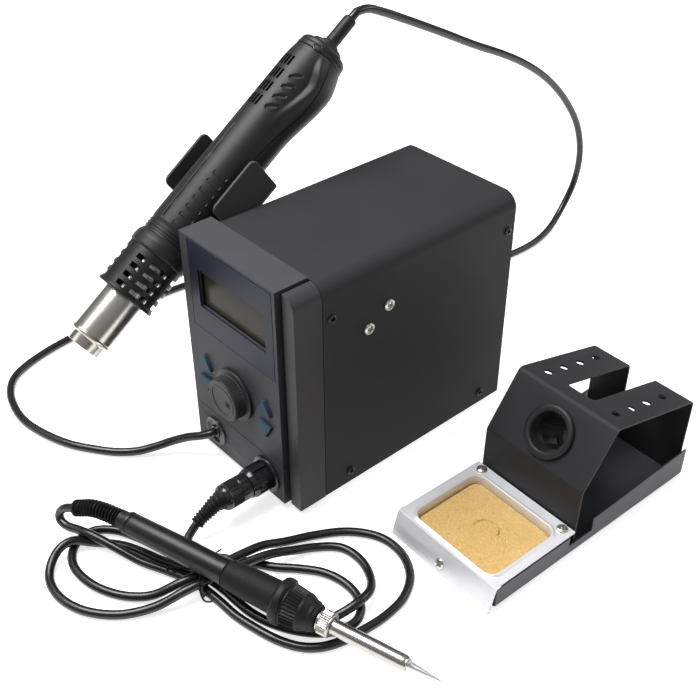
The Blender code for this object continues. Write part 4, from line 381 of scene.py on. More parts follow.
# Gun cord
# A round black cord with a smooth, slightly glossy jacket. It leaves the gland on the front, lies round
# the left of the unit and behind it, and rises in a high arch to the sleeve at the rear of the gun.
GUN_CORD_RADIUS = 2.5
GUN_CORD_ROUTE = [
    (18.0, -1.9, 17.7), (18.0, -4.2, 17.7), (14.0, -9.0, 16.2), (7.4, -13.8, 13.6), (0.5, -19.5, 9.6),
    (-5.5, -28.0, 6.2), (-12.0, -37.0, 3.6), (-21.0, -46.5, 2.6), (-32.0, -55.0, 2.6),
    (-45.0, -63.0, 2.6), (-63.0, -69.5, 2.6), (-81.0, -72.6, 2.6), (-98.0, -71.0, 2.6),
    (-113.0, -66.0, 2.6), (-124.0, -58.0, 2.6), (-130.5, -47.0, 2.6), (-136.0, -29.0, 2.6),
    (-139.0, -10.0, 2.6), (-141.0, 10.0, 2.6), (-143.0, 40.0, 2.6), (-143.5, 66.0, 2.6),
    (-141.0, 90.0, 2.6), (-133.0, 114.0, 2.6), (-113.0, 143.0, 2.6), (-82.0, 176.0, 2.6),
    (-50.0, 214.0, 2.6), (-28.0, 252.0, 2.6), (-16.0, 285.0, 2.6), (-14.0, 316.0, 2.6),
    (-19.0, 343.0, 4.0), (-23.5, 362.0, 13.0), (-24.0, 374.0, 31.0), (-24.0, 377.0, 53.0),
    (-24.0, 369.5, 79.0), (-24.0, 351.0, 105.0), (-24.0, 327.0, 128.0), (-24.0, 301.0, 146.0),
    (-24.0, 276.0, 159.5), (-24.0, 247.0, 173.0), (-24.0, 215.0, 189.0), (-24.0, 184.0, 204.0),
    (-24.0, 165.0, 212.8), (-24.0, 153.0, 217.3),
]
GUN_START = np.array([-24.0, -51.4, 80.9])
GUN_TILT = math.radians(34.75)
GUN_ALONG = np.array([0.0, math.cos(GUN_TILT), math.sin(GUN_TILT)])
GUN_UP = np.array([0.0, -math.sin(GUN_TILT), math.cos(GUN_TILT)])
SLEEVE_END = 234.0


def cord_line(route, radius):
    """The cord's centre line: straight first and last legs, a smooth curve between, never in the table."""
    line = np.vstack([route[0], smooth_route(route[1:-1], 2.0), route[-1]])
    line[:, 2] = np.maximum(line[:, 2], radius + 0.1)
    return world(line)


gun_jacket = cord_jacket("gun_cord_jacket", "black_rubber", (0.004, 0.004, 0.0046), 0.2)
gun_route = [np.array(point) for point in GUN_CORD_ROUTE]
gun_route += [GUN_START + GUN_ALONG * (SLEEVE_END + ahead) for ahead in (5.3, 0.3)]
gun_line = cord_line(gun_route, GUN_CORD_RADIUS)
gun_cord = piece("gun_cord_jacket", swept(gun_line, GUN_CORD_RADIUS * MM), gun_jacket, None, "gun_cord")
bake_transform(gun_cord)

# Iron cord and its twist tie
# A limp black silicone cord, bundled in five loops that cross in one place, where a black twist tie of
# covered wire holds them. The iron's handle lies on the crossing.
IRON_CORD_RADIUS = 2.4
IRON_CORD_ROUTE = [
    (21.0, -93.3, 19.45), (19.0, -94.3, 18.7), (14.5, -96.5, 16.6), (11.8, -98.6, 13.2), (12.8, -99.9, 9.8),
    (17.5, -99.4, 8.2), (26.0, -96.0, 8.6), (33.5, -93.2, 9.0), (49.0, -87.0, 6.4), (62.0, -81.5, 3.6),
    (77.0, -74.8, 3.8), (92.0, -69.0, 4.0), (108.0, -66.5, 3.4), (123.0, -65.2, 2.5), (136.4, -62.4, 2.5),
    (148.6, -58.6, 2.5), (158.5, -53.0, 2.5), (165.0, -45.5, 2.5), (168.8, -36.0, 2.5), (171.0, -22.6, 2.5),
    (171.5, -9.0, 2.5), (169.0, 5.0, 2.5), (161.0, 17.0, 2.5), (148.0, 24.0, 2.5), (133.0, 24.0, 2.5),
    (119.0, 15.5, 2.5), (108.0, 0.0, 2.5), (101.5, -18.0, 4.6), (98.6, -30.0, 8.0), (97.0, -42.0, 9.0),
    (95.0, -60.0, 9.2), (91.5, -76.0, 8.4), (85.0, -90.0, 3.8), (73.5, -101.0, 2.5), (58.0, -108.0, 2.5),
    (42.0, -109.0, 2.5), (32.0, -104.6, 2.5), (26.6, -97.5, 2.5), (26.0, -88.0, 2.5), (33.0, -79.5, 2.5),
    (46.0, -73.0, 2.5), (61.0, -68.2, 2.5), (77.0, -62.5, 3.2), (91.5, -57.5, 4.0), (106.0, -54.0, 3.4),
    (121.0, -50.5, 2.5), (135.0, -46.3, 2.5), (147.0, -40.5, 2.5), (155.0, -33.0, 3.6), (158.6, -25.0, 6.4),
    (159.5, -16.5, 7.8), (157.0, -7.5, 6.0), (149.0, 0.5, 2.9), (137.0, 5.0, 2.5), (124.0, 3.5, 2.5),
    (115.0, -5.5, 2.5), (110.0, -18.0, 5.0), (106.5, -30.0, 8.2), (103.0, -44.0, 9.0), (100.5, -60.0, 9.2),
    (97.5, -77.0, 8.4), (92.5, -93.0, 4.0), (83.0, -109.0, 2.5), (69.5, -120.0, 2.5), (54.0, -124.5, 2.5),
    (40.5, -122.5, 2.5), (32.5, -116.5, 4.4), (29.3, -108.5, 7.6), (29.8, -101.5, 7.4), (33.0, -94.5, 4.0),
    (39.0, -87.3, 2.5), (46.5, -81.5, 2.5), (55.5, -77.3, 2.5), (67.0, -73.0, 2.5), (79.0, -68.0, 3.2),
    (91.5, -63.2, 4.0), (106.0, -60.3, 3.4), (116.0, -59.4, 2.5), (125.0, -58.6, 2.5), (133.5, -56.6, 2.5),
    (142.0, -53.0, 2.5), (151.0, -47.4, 2.5), (158.5, -40.3, 2.5), (163.3, -32.0, 2.5), (164.5, -23.5, 2.5),
    (160.5, -16.5, 2.5), (152.0, -12.0, 2.5), (141.0, -11.5, 2.5), (130.0, -15.0, 2.5), (120.0, -22.5, 2.5),
    (111.0, -31.0, 2.5), (101.0, -38.0, 2.5), (92.0, -44.5, 2.5), (84.0, -51.0, 2.5), (77.5, -56.3, 2.5),
    (71.5, -58.0, 3.2), (66.8, -55.4, 5.2), (65.2, -50.5, 8.2), (65.0, -47.8, 10.2),
]
iron_jacket = cord_jacket("iron_cord_jacket", "black_rubber", (0.0045, 0.0045, 0.005), 0.2)
iron_line = cord_line([np.array(point) for point in IRON_CORD_ROUTE], IRON_CORD_RADIUS)
iron_cord = piece("iron_cord_jacket", swept(iron_line, IRON_CORD_RADIUS * MM), iron_jacket, None, "iron_cord")
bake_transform(iron_cord)

TIE_TURN = math.radians(45)
tie_across = np.array([math.cos(TIE_TURN), -math.sin(TIE_TURN), 0.0])
tie_middle = np.array([94.5, -62.5, 0.0])
bend = np.linspace(0, 2 * np.pi, 72, endpoint=False)
ring_x = 11.9 * np.sign(np.cos(bend)) * np.abs(np.cos(bend)) ** 0.55
ring_z = 6.35 + 5.85 * np.sign(np.sin(bend)) * np.abs(np.sin(bend)) ** 0.6
ring = tie_middle + ring_x[:, None] * tie_across + ring_z[:, None] * np.array([0.0, 0.0, 1.0])
twist = np.linspace(0, 1, 40)[:, None]
knot = np.array([88.6, -60.6, 12.2])
knot_end = np.array([83.5, -62.4, 11.2])
STRAND_OFFSET = 0.75
strand_turn = 7 * np.pi * twist
strand = STRAND_OFFSET * np.hstack([np.cos(strand_turn), np.sin(strand_turn), 0 * twist])
loose = [
    smooth_route([ring[6], knot, knot + (1, 3, 1), (92.5, -55.0, 15.5), (91.7, -51.0, 14.6)], 0.6),
    smooth_route([
        knot, (84.5, -67.0, 9.4), (80.5, -71.4, 6.2), (77.5, -73.4, 7.4), (78.8, -76.4, 6.4),
        (82.5, -73.6, 6.2),
    ], 0.6),
    smooth_route([
        knot, (95.5, -66.5, 13.0), (101.8, -71.6, 7.2), (105.5, -71.6, 3.2), (107.6, -68.4, 3.0),
        (104.2, -67.6, 6.5),
    ], 0.6),
]
twist_wire = joined(
    swept(world(np.vstack([ring, ring[:1]])), 0.55 * MM, 8),
    *(swept(world(end), 0.5 * MM, 8) for end in loose),
    swept(world(knot + (knot_end - knot) * twist + strand), 0.5 * MM, 8),
    swept(world(knot + (knot_end - knot) * twist - strand), 0.5 * MM, 8),
)
tie_skin = mottled(
    "tie_skin", "black_rubber", (0.006, 0.006, 0.0065), (0.016, 0.016, 0.017), (1.2, 3),
    (2.0, 2.0, 0.2, 0.4), IOR=1.45,
)
tie = piece("twist_tie", twist_wire, tie_skin, "station", "cord_tie")


# Case cover and rear
# The cover is one folded steel sheet with a fine textured black powder coat. Its long top edges are rolled
# round, and it is screwed to the pan's flanges.
def powder_coat(name, slot, colour, grain=0.7, gloss=0.5):
    """Textured paint: small rounded bumps of uneven size, with painted shade that darkens their hollows, over
    a cloudy gloss.
    """
    coat = Finish(name, slot, IOR=1.45, Specular_IOR_Level=0.32)
    bumps = coat.noise(grain, 2.0, 0.6)
    fine = coat.noise(grain * 0.4, 1.0)
    cloud = coat.noise(38, 3.0)
    # Painted shade: the colour darkens where the bumps are low, as shade in their hollows; the cloud mixes in
    # a real drift of tone.
    coat.colour(coat.blend(
        bumps * 0.55 + cloud * 0.45, tuple(0.72 * c for c in colour), tuple(1.3 * c for c in colour)
    ))
    coat.rough(cloud * 0.1 + bumps * 0.12 + gloss)
    coat.relief(bumps * 0.75 + fine * 0.25, 0.09)
    return coat


def fold_line(corners, bend, steps):
    """The middle line of a folded sheet: straight between its corners, an arc of this radius at each fold."""
    corners = np.asarray(corners, float)
    parts = [corners[:1]]
    for before, corner, after in zip(corners, corners[1:], corners[2:]):
        arrive = (corner - before) / np.linalg.norm(corner - before)
        leave = (after - corner) / np.linalg.norm(after - corner)
        turn = math.atan2(arrive[0] * leave[1] - arrive[1] * leave[0], arrive.dot(leave))
        start = corner - arrive * bend * math.tan(abs(turn) / 2)
        centre = start + np.array([-arrive[1], arrive[0]]) * math.copysign(bend, turn)
        angle = np.linspace(0, turn, steps + 1)[:, None]
        spoke = start - centre
        parts.append(centre + np.cos(angle) * spoke + np.sin(angle) * np.array([-spoke[1], spoke[0]]))
    parts.append(corners[-1:])
    return np.vstack(parts)


def sheet_solid(line, thickness, start, end):
    """A folded sheet: its middle line carried from start to end, with this thickness to both sides of it."""
    along = np.gradient(line, axis=0)
    along /= np.linalg.norm(along, axis=1)[:, None]
    normal = np.stack([-along[:, 1], along[:, 0]], axis=1) * thickness / 2
    loop = np.vstack([line + normal, (line - normal)[::-1]])
    count = len(loop)
    sides = np.stack([
        np.column_stack([np.full(count, depth), loop[:, 0], loop[:, 1]]) for depth in (start, end)
    ])
    points, faces = woven(sides, around=True)
    half = len(line)
    index = np.arange(half - 1)
    caps = [
        offset + np.stack([index, index + 1, count - 2 - index, count - 1 - index], axis=1)
        for offset in (0, count)
    ]
    return points, np.vstack([faces, *caps])


cover_paint = powder_coat("cover_paint", "painted_steel", (0.021, 0.0208, 0.0235))
cover_outline = fold_line([(0.5, 4.2), (0.5, 141.5), (89.5, 141.5), (89.5, 4.2)], 8.5, 14)
cover_points, cover_faces = sheet_solid(cover_outline, 1.0, 21.4, 161.9)
cover_shape = (world(cover_points[:, [1, 0, 2]]), cover_faces)
piece("cover_sheet", cover_shape, cover_paint, "station", "case_cover", bevel=0.25)


def dress(finish, *nodes):
    """Gives the finish to CAD nodes that stay as they are."""
    for name in nodes:
        materials = frame["nodes"][name].data.materials
        materials.clear()
        materials.append(finish.material)


def finished_copy(name, node, finish, body, edge, also=(), segments=2):
    """A CAD node's own shape with its edges rounded: the loose triangles merged and flat faces joined."""
    source = frame["nodes"][node].data
    work = bmesh.new()
    work.from_mesh(source)
    bmesh.ops.remove_doubles(work, verts=work.verts, dist=2e-6)
    bmesh.ops.dissolve_limit(
        work, angle_limit=math.radians(1.0), verts=work.verts, edges=work.edges, delimit={"NORMAL"}
    )
    mesh = bpy.data.meshes.new(name)
    work.to_mesh(mesh)
    work.free()
    mesh.shade_smooth()
    mesh.set_sharp_from_angle(angle=math.radians(35))
    mesh.materials.clear()
    mesh.materials.append(finish.material)
    made = bpy.data.objects.new(name, mesh)
    bpy.context.scene.collection.objects.link(made)
    round_edges(made, "rounding", edge, segments)
    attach(made, body)
    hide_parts(node, *also)
    return made


rear_paint = powder_coat("rear_paint", "painted_steel", (0.02, 0.02, 0.0225))
dress(rear_paint, "rear_panel")
zinc = mottled(
    "zinc_plate", "zinc_plated_steel", (0.42, 0.43, 0.45), (0.62, 0.62, 0.60), (14, 4),
    (5, 3, 0.25, 0.3), (3, 4, 0.02), Metallic=1.0,
)
dress(zinc, "base_plate")


# Front bezel, connector panel and cheek
# Grey moulded plastic with a fine spark-eroded grain. The bezel and the panel below it are separate trays
# with soft outer edges. The cheek beside them is part of the frame and follows the cover's rounded edge.
def moulding(name, slot, colour, grain=0.35, gloss=0.42, depth=0.025, level=0.38):
    """Moulded plastic: an even fine grain, and a colour and gloss that drift over a few centimetres."""
    plastic = Finish(name, slot, IOR=1.46, Specular_IOR_Level=level)
    drift = plastic.noise(24, 3)
    grains = plastic.noise(grain, 1.5, 0.6)
    plastic.colour(plastic.blend(
        drift * 0.6 + grains * 0.4, tuple(0.86 * c for c in colour), tuple(1.14 * c for c in colour)
    ))
    plastic.rough(drift * 0.12 + grains * 0.08 + gloss)
    plastic.relief(grains, depth)
    return plastic


bezel_grey = moulding("bezel_grey", "bezel_plastic", (0.052, 0.0515, 0.058), 0.4, 0.42, level=0.25)
finished_copy("bezel_moulding", "front_bezel", bezel_grey, "station", 0.9, segments=3)
finished_copy("panel_moulding", "connector_panel", bezel_grey, "station", 0.7, segments=3)
cheek_grey = moulding("cheek_grey", "dark_plastic", (0.034, 0.034, 0.037), 0.4, 0.4)
finished_copy("cheek_moulding", "front_frame", cheek_grey, "station", 0.5)

# Display
# A dark blue printed film lies in a shallow seat of the bezel, round the deep window of a liquid crystal
# display that is switched off.
film = mottled(
    "overlay_print", "overlay_film", (0.017, 0.018, 0.036), (0.023, 0.024, 0.045), (30, 2),
    (0.5, 1, 0.1, 0.3), (0.45, 1, 0.01), IOR=1.5, Specular_IOR_Level=0.12,
)
finished_copy("overlay_sheet", "display_overlay", film, "station", 0.12)
crystal = mottled(
    "crystal_dark", "lcd_glass", (0.058, 0.055, 0.039), (0.072, 0.068, 0.048), (40, 2),
    (20, 2, 0.08, 0.16), IOR=1.5, Specular_IOR_Level=0.08,
)
dress(crystal, "lcd_module")
laminate = Finish("laminate_green", "circuit_board", IOR=1.5)
tracks = laminate.along((1.0, 0.35, 0.0)) * 900.0
woven_glass = laminate.node("ShaderNodeMath", {"operation": "SINE"}, {0: tracks})
laminate.colour(laminate.blend(woven_glass.above(0.55) * 0.6, (0.012, 0.10, 0.035), (0.03, 0.2, 0.07)))
laminate.rough(laminate.noise(6, 2) * 0.2 + 0.35)
dress(laminate, "display_board", "mainboard")

# Buttons
# Four triangular keys of blue-grey plastic stand a little proud of the bezel, two pointing up, two down.
key_blue = moulding("key_blue", "button_blue", (0.03, 0.07, 0.108), 0.3, 0.42, 0.012, 0.2)
for key in ("left_up_button", "left_down_button", "right_up_button", "right_down_button"):
    finished_copy(key + "_key", key, key_blue, key, 0.25)

# Knob
# A black moulded knob with a fine straight knurl, a thin flange behind it, a flat face with a raised
# outline and a small dimple. It is pressed on the potentiometer's steel shaft.
KNOB_PLACE = np.array([41.0, 0.0, 59.0])


def turned_grid(radius, height, columns=96):
    """Circles of these radii at these heights about the Z axis, rows by columns by 3."""
    angle = np.linspace(0, 2 * np.pi, columns, endpoint=False)
    radius, height = np.broadcast_arrays(
        np.asarray(radius, float).reshape(len(radius), -1), np.asarray(height, float).reshape(len(height), -1)
    )
    return np.stack([radius * np.cos(angle), radius * np.sin(angle), height + 0 * angle], axis=-1)


def rounded_profile(corners, radius=0.3, steps=3):
    """The (radius, height) line through the corners, each inner corner eased by an arc no longer than half
    of its shorter side."""
    corners = np.asarray(corners, float)
    parts = [corners[:1]]
    for before, corner, after in zip(corners, corners[1:], corners[2:]):
        back_way, on_way = before - corner, after - corner
        reach = min(radius, 0.45 * np.linalg.norm(back_way), 0.45 * np.linalg.norm(on_way))
        first = corner + back_way / np.linalg.norm(back_way) * reach
        last = corner + on_way / np.linalg.norm(on_way) * reach
        share = np.linspace(0, 1, steps + 1)[:, None]
        parts.append((1 - share) ** 2 * first + 2 * share * (1 - share) * corner + share ** 2 * last)
    parts.append(corners[-1:])
    return np.vstack(parts)


def turned(corners, origin, along, columns=64, ease=0.3, teeth=None):
    """A turned body: an eased (radius, height) line carried round the direction along from the origin.
    Teeth is (low, high, depth, count): a straight knurl between two heights, a rounded wave round it."""
    profile = rounded_profile(corners, ease)
    if teeth:
        low, high, depth, count = teeth
        heights = profile[:, 1]
        inside = (heights > low) & (heights < high)
        outer = profile[:, 0] > profile[:, 0].max() * 0.5
        wave = np.where(inside & outer, depth, 0.0)
        angle = np.linspace(0, 2 * np.pi, columns, endpoint=False)
        ripple = (0.5 - 0.5 * np.cos(count * angle)) ** 0.7
        radius = profile[:, :1] - wave[:, None] * ripple[None]
        grid = turned_grid(radius, heights, columns)
    else:
        grid = turned_grid(profile[:, 0], profile[:, 1], columns)
    closed = profile[0, 0] > 0 and profile[-1, 0] > 0
    points, faces = woven(grid, around=True, along=closed)
    along = np.asarray(along, float) / np.linalg.norm(along)
    across = np.cross((0.0, 0.0, 1.0), along) if abs(along[2]) < 0.9 else np.array([1.0, 0.0, 0.0])
    across /= np.linalg.norm(across)
    third = np.cross(along, across)
    placed = origin + points[:, :1] * across + points[:, 1:2] * third + points[:, 2:] * along
    return world(placed), faces


knob_black = moulding("knob_black", "gun_plastic", (0.02, 0.02, 0.0215), 0.35, 0.38, 0.015)
angle = np.linspace(0, 2 * np.pi, 360, endpoint=False)[None, :]
knurl = (0.5 - 0.5 * np.cos(72 * angle)) ** 0.8
rows = [
    (0.0, 9.0, 0), (2.0, 9.0, 0), (4.0, 9.02, 0), (6.0, 9.05, 0), (7.6, 9.08, 0), (8.6, 9.1, 0),
    (8.9, 9.12, 0), (9.1, 9.45, 0), (9.5, 9.5, 0), (9.8, 9.45, 0), (10.0, 9.2, 0), (10.5, 9.25, 0),
    (11.3, 9.4, 0), (11.8, 9.35, 0), (12.1, 9.1, 0), (12.3, 8.7, 0.15), (12.5, 8.2, 0.42),
    (12.6, 6.0, 0.42), (12.7, 4.0, 0.42), (12.8, 2.9, 0.42), (12.8, 2.6, 0.1), (12.9, 2.4, 0),
    (14.6, 2.35, 0), (15.2, 2.2, 0), (15.45, 1.8, 0), (15.45, 0.9, 0), (15.2, 0.6, 0), (14.0, 0.55, 0),
    (0.0, 0.55, 0),
]
rows = np.array(rows)
knob_radius = rows[:, :1] - rows[:, 2:] * knurl
flat_side = 1 - 0.16 * np.clip(np.cos(angle - math.pi / 2), 0, 1) ** 6
outline_rows = (rows[:, 0] > 8.4) & (rows[:, 0] < 10.2) & (rows[:, 1] > 8.5)
knob_radius = np.where(outline_rows[:, None], knob_radius * flat_side, knob_radius)
knob_height = np.broadcast_to(rows[:, 1:2], knob_radius.shape).copy()
DIMPLE_PLACE = (4.6, -0.4)
DIMPLE_RADIUS = 2.2
DIMPLE_DEPTH = 1.3
dimple_x = knob_radius * np.cos(angle) - DIMPLE_PLACE[0]
dimple_y = knob_radius * np.sin(angle) - DIMPLE_PLACE[1]
face_rows = (rows[:, 1:2] > 8.8) & (rows[:, :1] < 8.7)
dent = np.clip(1 - (dimple_x ** 2 + dimple_y ** 2) / DIMPLE_RADIUS ** 2, 0, 1)
knob_height = knob_height - np.where(face_rows, DIMPLE_DEPTH * dent ** 0.7, 0)
fine_rows = np.linspace(0, len(rows) - 1, 4 * len(rows))


def refined(values, fine):
    """Values between rows: a straight blend of the two nearest rows."""
    low = np.floor(fine).astype(int)
    high = np.minimum(low + 1, len(values) - 1)
    share = (fine - low)[:, None]
    return values[low] * (1 - share) + values[high] * share


knob_radius, knob_height = refined(knob_radius, fine_rows), refined(knob_height, fine_rows)
knob_grid = np.stack([
    knob_radius * np.cos(angle), -knob_height, knob_radius * np.sin(angle)
], axis=-1)
knob_points, knob_faces = woven(knob_grid, around=True)
piece(
    "knob_body", (world(knob_points + KNOB_PLACE), knob_faces), knob_black, "knob", "airflow_knob", crease=50
)
ground = mottled(
    "ground_steel", "bright_steel", (0.5, 0.5, 0.52), (0.66, 0.66, 0.67), (6, 3),
    (1.5, 3, 0.2, 0.22), Metallic=1.0,
)
dress(ground, "knob_shaft", "fan_motor")
turned_brass = mottled(
    "turned_brass", "brass", (0.55, 0.4, 0.18), (0.72, 0.56, 0.28), (5, 3),
    (2, 3, 0.2, 0.25), Metallic=1.0,
)
dress(turned_brass, "potentiometer")

# Cord gland, iron socket, plug and boot
# The gland is a glossy rubber ring pressed in a recess of the panel. The iron's round connector is black
# plated brass: a flanged socket, a notched locking ring, and a plug with a knurled grip and ribbed boot.
connector_gloss = mottled(
    "connector_gloss", "gloss_black", (0.01, 0.01, 0.0115), (0.02, 0.02, 0.022), (7, 3),
    (4, 3, 0.1, 0.08), (2.5, 2, 0.02), IOR=1.5,
)
boot_rubber = mottled(
    "boot_rubber", "black_rubber", (0.006, 0.006, 0.0065), (0.015, 0.015, 0.016), (3, 4),
    (6, 2, 0.2, 0.36), (0.6, 2, 0.03), IOR=1.45, Specular_IOR_Level=0.3,
)
OUT = np.array([0.0, -1.0, 0.0])
GLAND = np.array([18.0, 0.0, 17.7])
SOCKET = np.array([65.4, 0.0, 17.7])
gland_shape = turned([
    (0, -6), (5.9, -6), (5.9, -1.1), (7.9, -1.1), (7.9, 0.05), (9.0, 0.05), (9.1, 0.7), (8.5, 1.2),
    (7.4, 1.1), (6.6, 0.2), (5.6, -0.3), (4.4, -0.2), (3.7, 0.2), (3.6, 1.1), (3.2, 1.6), (0, 1.6),
], GLAND, OUT, 64, 0.35)
piece("gland_ring", gland_shape, connector_gloss, "station", "cord_gland")
socket_shape = turned([
    (0, -7), (6.7, -7), (6.7, 2.0), (10.2, 2.0), (10.9, 1.4), (10.9, 0.35), (7.8, 0.35), (7.8, -14),
    (0, -14),
], SOCKET, OUT, 72, 0.3)
piece("socket_body", socket_shape, connector_gloss, "station", "iron_socket")

ring_angle = np.linspace(0, 2 * np.pi, 288, endpoint=False)[None, :]
ring_rows = rounded_profile([
    (7.0, 2.35), (8.75, 2.35), (8.75, 9.6), (8.75, 12.2), (8.4, 12.6), (8.1, 13.6), (7.9, 14.6),
    (7.0, 14.6), (7.0, 2.35),
], 0.3)
ring_rows = ring_rows[:-1]
notch = np.abs((ring_angle / (2 * np.pi) * 6) % 1 - 0.5) < 0.2
grooved = (ring_rows[:, :1] > 8.2) & (ring_rows[:, 1:] < 11.5)
small = np.where(~notch, 0.16 * (0.5 - 0.5 * np.cos(90 * ring_angle)), 0.0)
ring_radius = ring_rows[:, :1] - np.where(grooved, np.where(notch, 0.0, 1.05) + small, 0.0)
ring_grid = np.stack([
    ring_radius * np.cos(ring_angle), -(ring_rows[:, 1:] + 0 * ring_angle), ring_radius * np.sin(ring_angle)
], axis=-1)
ring_points, ring_faces = woven(ring_grid, around=True, along=True)
piece(
    "ring_barrel", (world(ring_points + SOCKET), ring_faces), connector_gloss, "locking_ring",
    "plug_locking_ring",
)

plug_shape = turned([
    (0, -6.0), (6.35, -6.0), (6.35, 14.8), (7.2, 14.8), (7.45, 15.2), (7.45, 20.2), (7.1, 20.6),
    (7.2, 21.0), (7.5, 21.2), (7.5, 22.0), (7.5, 23.0), (7.5, 24.0), (7.5, 25.0), (7.5, 26.0),
    (7.5, 27.0), (7.5, 27.8), (7.2, 28.1), (7.5, 28.4), (7.4, 29.6), (6.8, 30.9), (6.0, 31.6),
    (5.7, 31.7), (5.6, 30.0), (0, 30.0),
], SOCKET, OUT, 240, 0.25, (21.1, 27.9, 0.4, 40))
piece("plug_shell", plug_shape, connector_gloss, "station", "iron_plug")


def ribbed(path, start_radius, end_radius, pitch, depth, plain, sides=36):
    """A tapering boot on a path: its radius falls in a straight line and dips between ribs, by a wave that
    is raised to a power so that the ribs are wide and the gaps narrow; plain lengths stay at both ends."""
    run = np.concatenate([[0.0], np.cumsum(np.linalg.norm(np.diff(path, axis=0), axis=1))])
    share = run / run[-1]
    wave = (0.5 - 0.5 * np.cos(2 * np.pi * (run - plain[0]) / pitch)) ** 1.6
    inside = np.clip((run - plain[0]) / 0.4, 0, 1) * np.clip((run[-1] - plain[1] - run) / 0.4, 0, 1)
    radius = start_radius + (end_radius - start_radius) * share - depth * (1 - wave) * inside
    return swept(world(path), radius * MM, sides)


plug_path = smooth_route([
    (65.4, -29.9, 17.7), (65.4, -35, 17.4), (65.4, -40, 15.0), (65.2, -44, 12.9), (65.0, -47.5, 10.4),
], 0.16)
plug_ribs = ribbed(plug_path, 5.6, 3.8, 1.75, 0.85, (2.6, 1.0))
piece("plug_boot_ribs", plug_ribs, boot_rubber, "station", "plug_boot")

# Rear fittings and the inside
# The mains inlet, the switch and the fuse holder are black moulded parts on the rear panel. Inside are the
# transformer of stacked sheets with its copper winding, and four rubber feet are screwed under the pan.
rear_black = moulding("rear_black", "dark_plastic", (0.02, 0.02, 0.021), 0.3, 0.35, 0.01)
dress(rear_black, "power_inlet", "switch_housing", "power_rocker", "fuse_holder")
stack = Finish("core_stack", "core_laminations", Metallic=0.8)
layers = stack.node("ShaderNodeMath", {"operation": "SINE"}, {0: stack.along((0.0, 1.0, 0.0)) * 9000.0})
stack.colour(stack.blend(layers.above(0.3) * 0.7, (0.16, 0.16, 0.17), (0.28, 0.27, 0.27)))
stack.rough(stack.noise(4, 3) * 0.2 + 0.45)
dress(stack, "transformer_core")
winding = Finish("coil_winding", "coil_copper", Metallic=0.9)
turns = winding.node("ShaderNodeMath", {"operation": "SINE"}, {0: winding.along((0.0, 0.0, 1.0)) * 8000.0})
# Painted shade: the colour is darker in the grooves between the turns and lighter on their crests, following
# the same wave as their bumps.
winding.colour(winding.blend(turns * 0.5 + 0.5, (0.4, 0.16, 0.06), (0.66, 0.34, 0.16)))
winding.rough(winding.noise(3, 2) * 0.15 + 0.3)
winding.relief(turns * 0.5 + 0.5, 0.1)
dress(winding, "transformer_coil")
foot_rubber = mottled(
    "foot_rubber", "black_rubber", (0.01, 0.01, 0.0105), (0.022, 0.022, 0.022), (4, 4),
    (3, 2, 0.2, 0.55), (0.5, 2, 0.05), IOR=1.45,
)
dress(foot_rubber, "station_foot_1", "station_foot_2", "station_foot_3", "station_foot_4")

# Cradle
# One strip of steel folded to a deep rounded trough and painted like the case. It is screwed to the left
# wall and holds the gun's handle.
cradle_paint = powder_coat("cradle_paint", "cradle_paint", (0.07, 0.07, 0.073), 0.55)
finished_copy("cradle_strip", "gun_cradle", cradle_paint, "station", 0.5, segments=3)


# Gun nozzle and heater
# The nozzle is a drawn tube of polished stainless steel, blued a little by heat, with a stepped mouth held
# by a clamp band. Inside it stands the ceramic core of the heater.
def gun(points):
    """(across, up, along) in millimetres from the nozzle's mouth, in the gun's own axes, to the unit's."""
    points = np.asarray(points, float)
    return GUN_START + points @ np.array([(1.0, 0.0, 0.0), GUN_UP, GUN_ALONG])


polished = Finish("nozzle_steel", "chrome", Metallic=1.0)
drawn = polished.streaks((1.0, 0.03, 1.0), (-GUN_TILT, 0, 0))
HEATED_LENGTH = 30 * MM
mouth_along = float(world([GUN_START])[0] @ GUN_ALONG)
heat = polished.node("ShaderNodeMapRange", None, {
    "Value": polished.along(GUN_ALONG), "From Min": mouth_along, "From Max": mouth_along + HEATED_LENGTH,
})
polished.colour(polished.blend(heat, (0.56, 0.525, 0.475), (0.62, 0.6, 0.57)))
polished.rough(drawn * 0.1 + 0.17)
polished.relief(drawn, 0.003)
nozzle_shape = turned([
    (8.9, -1.5), (9.9, -1.5), (9.9, 4.2), (10.4, 4.8), (12.1, 4.9), (12.25, 5.3), (12.25, 6.2), (12.0, 6.6),
    (11.7, 6.8), (11.7, 64.0), (10.7, 64.0), (10.7, 7.0), (8.9, 6.0), (8.9, -1.5),
], GUN_START, GUN_ALONG, 96, 0.35)
piece("nozzle_tube", nozzle_shape, polished, "gun", "gun_nozzle")
fired = mottled(
    "fired_ceramic", "ceramic", (0.55, 0.5, 0.43), (0.74, 0.71, 0.65), (5, 4),
    (1, 3, 0.2, 0.65), (0.8, 3, 0.05), IOR=1.5,
)
dress(fired, "heater_core", "iron_heater")


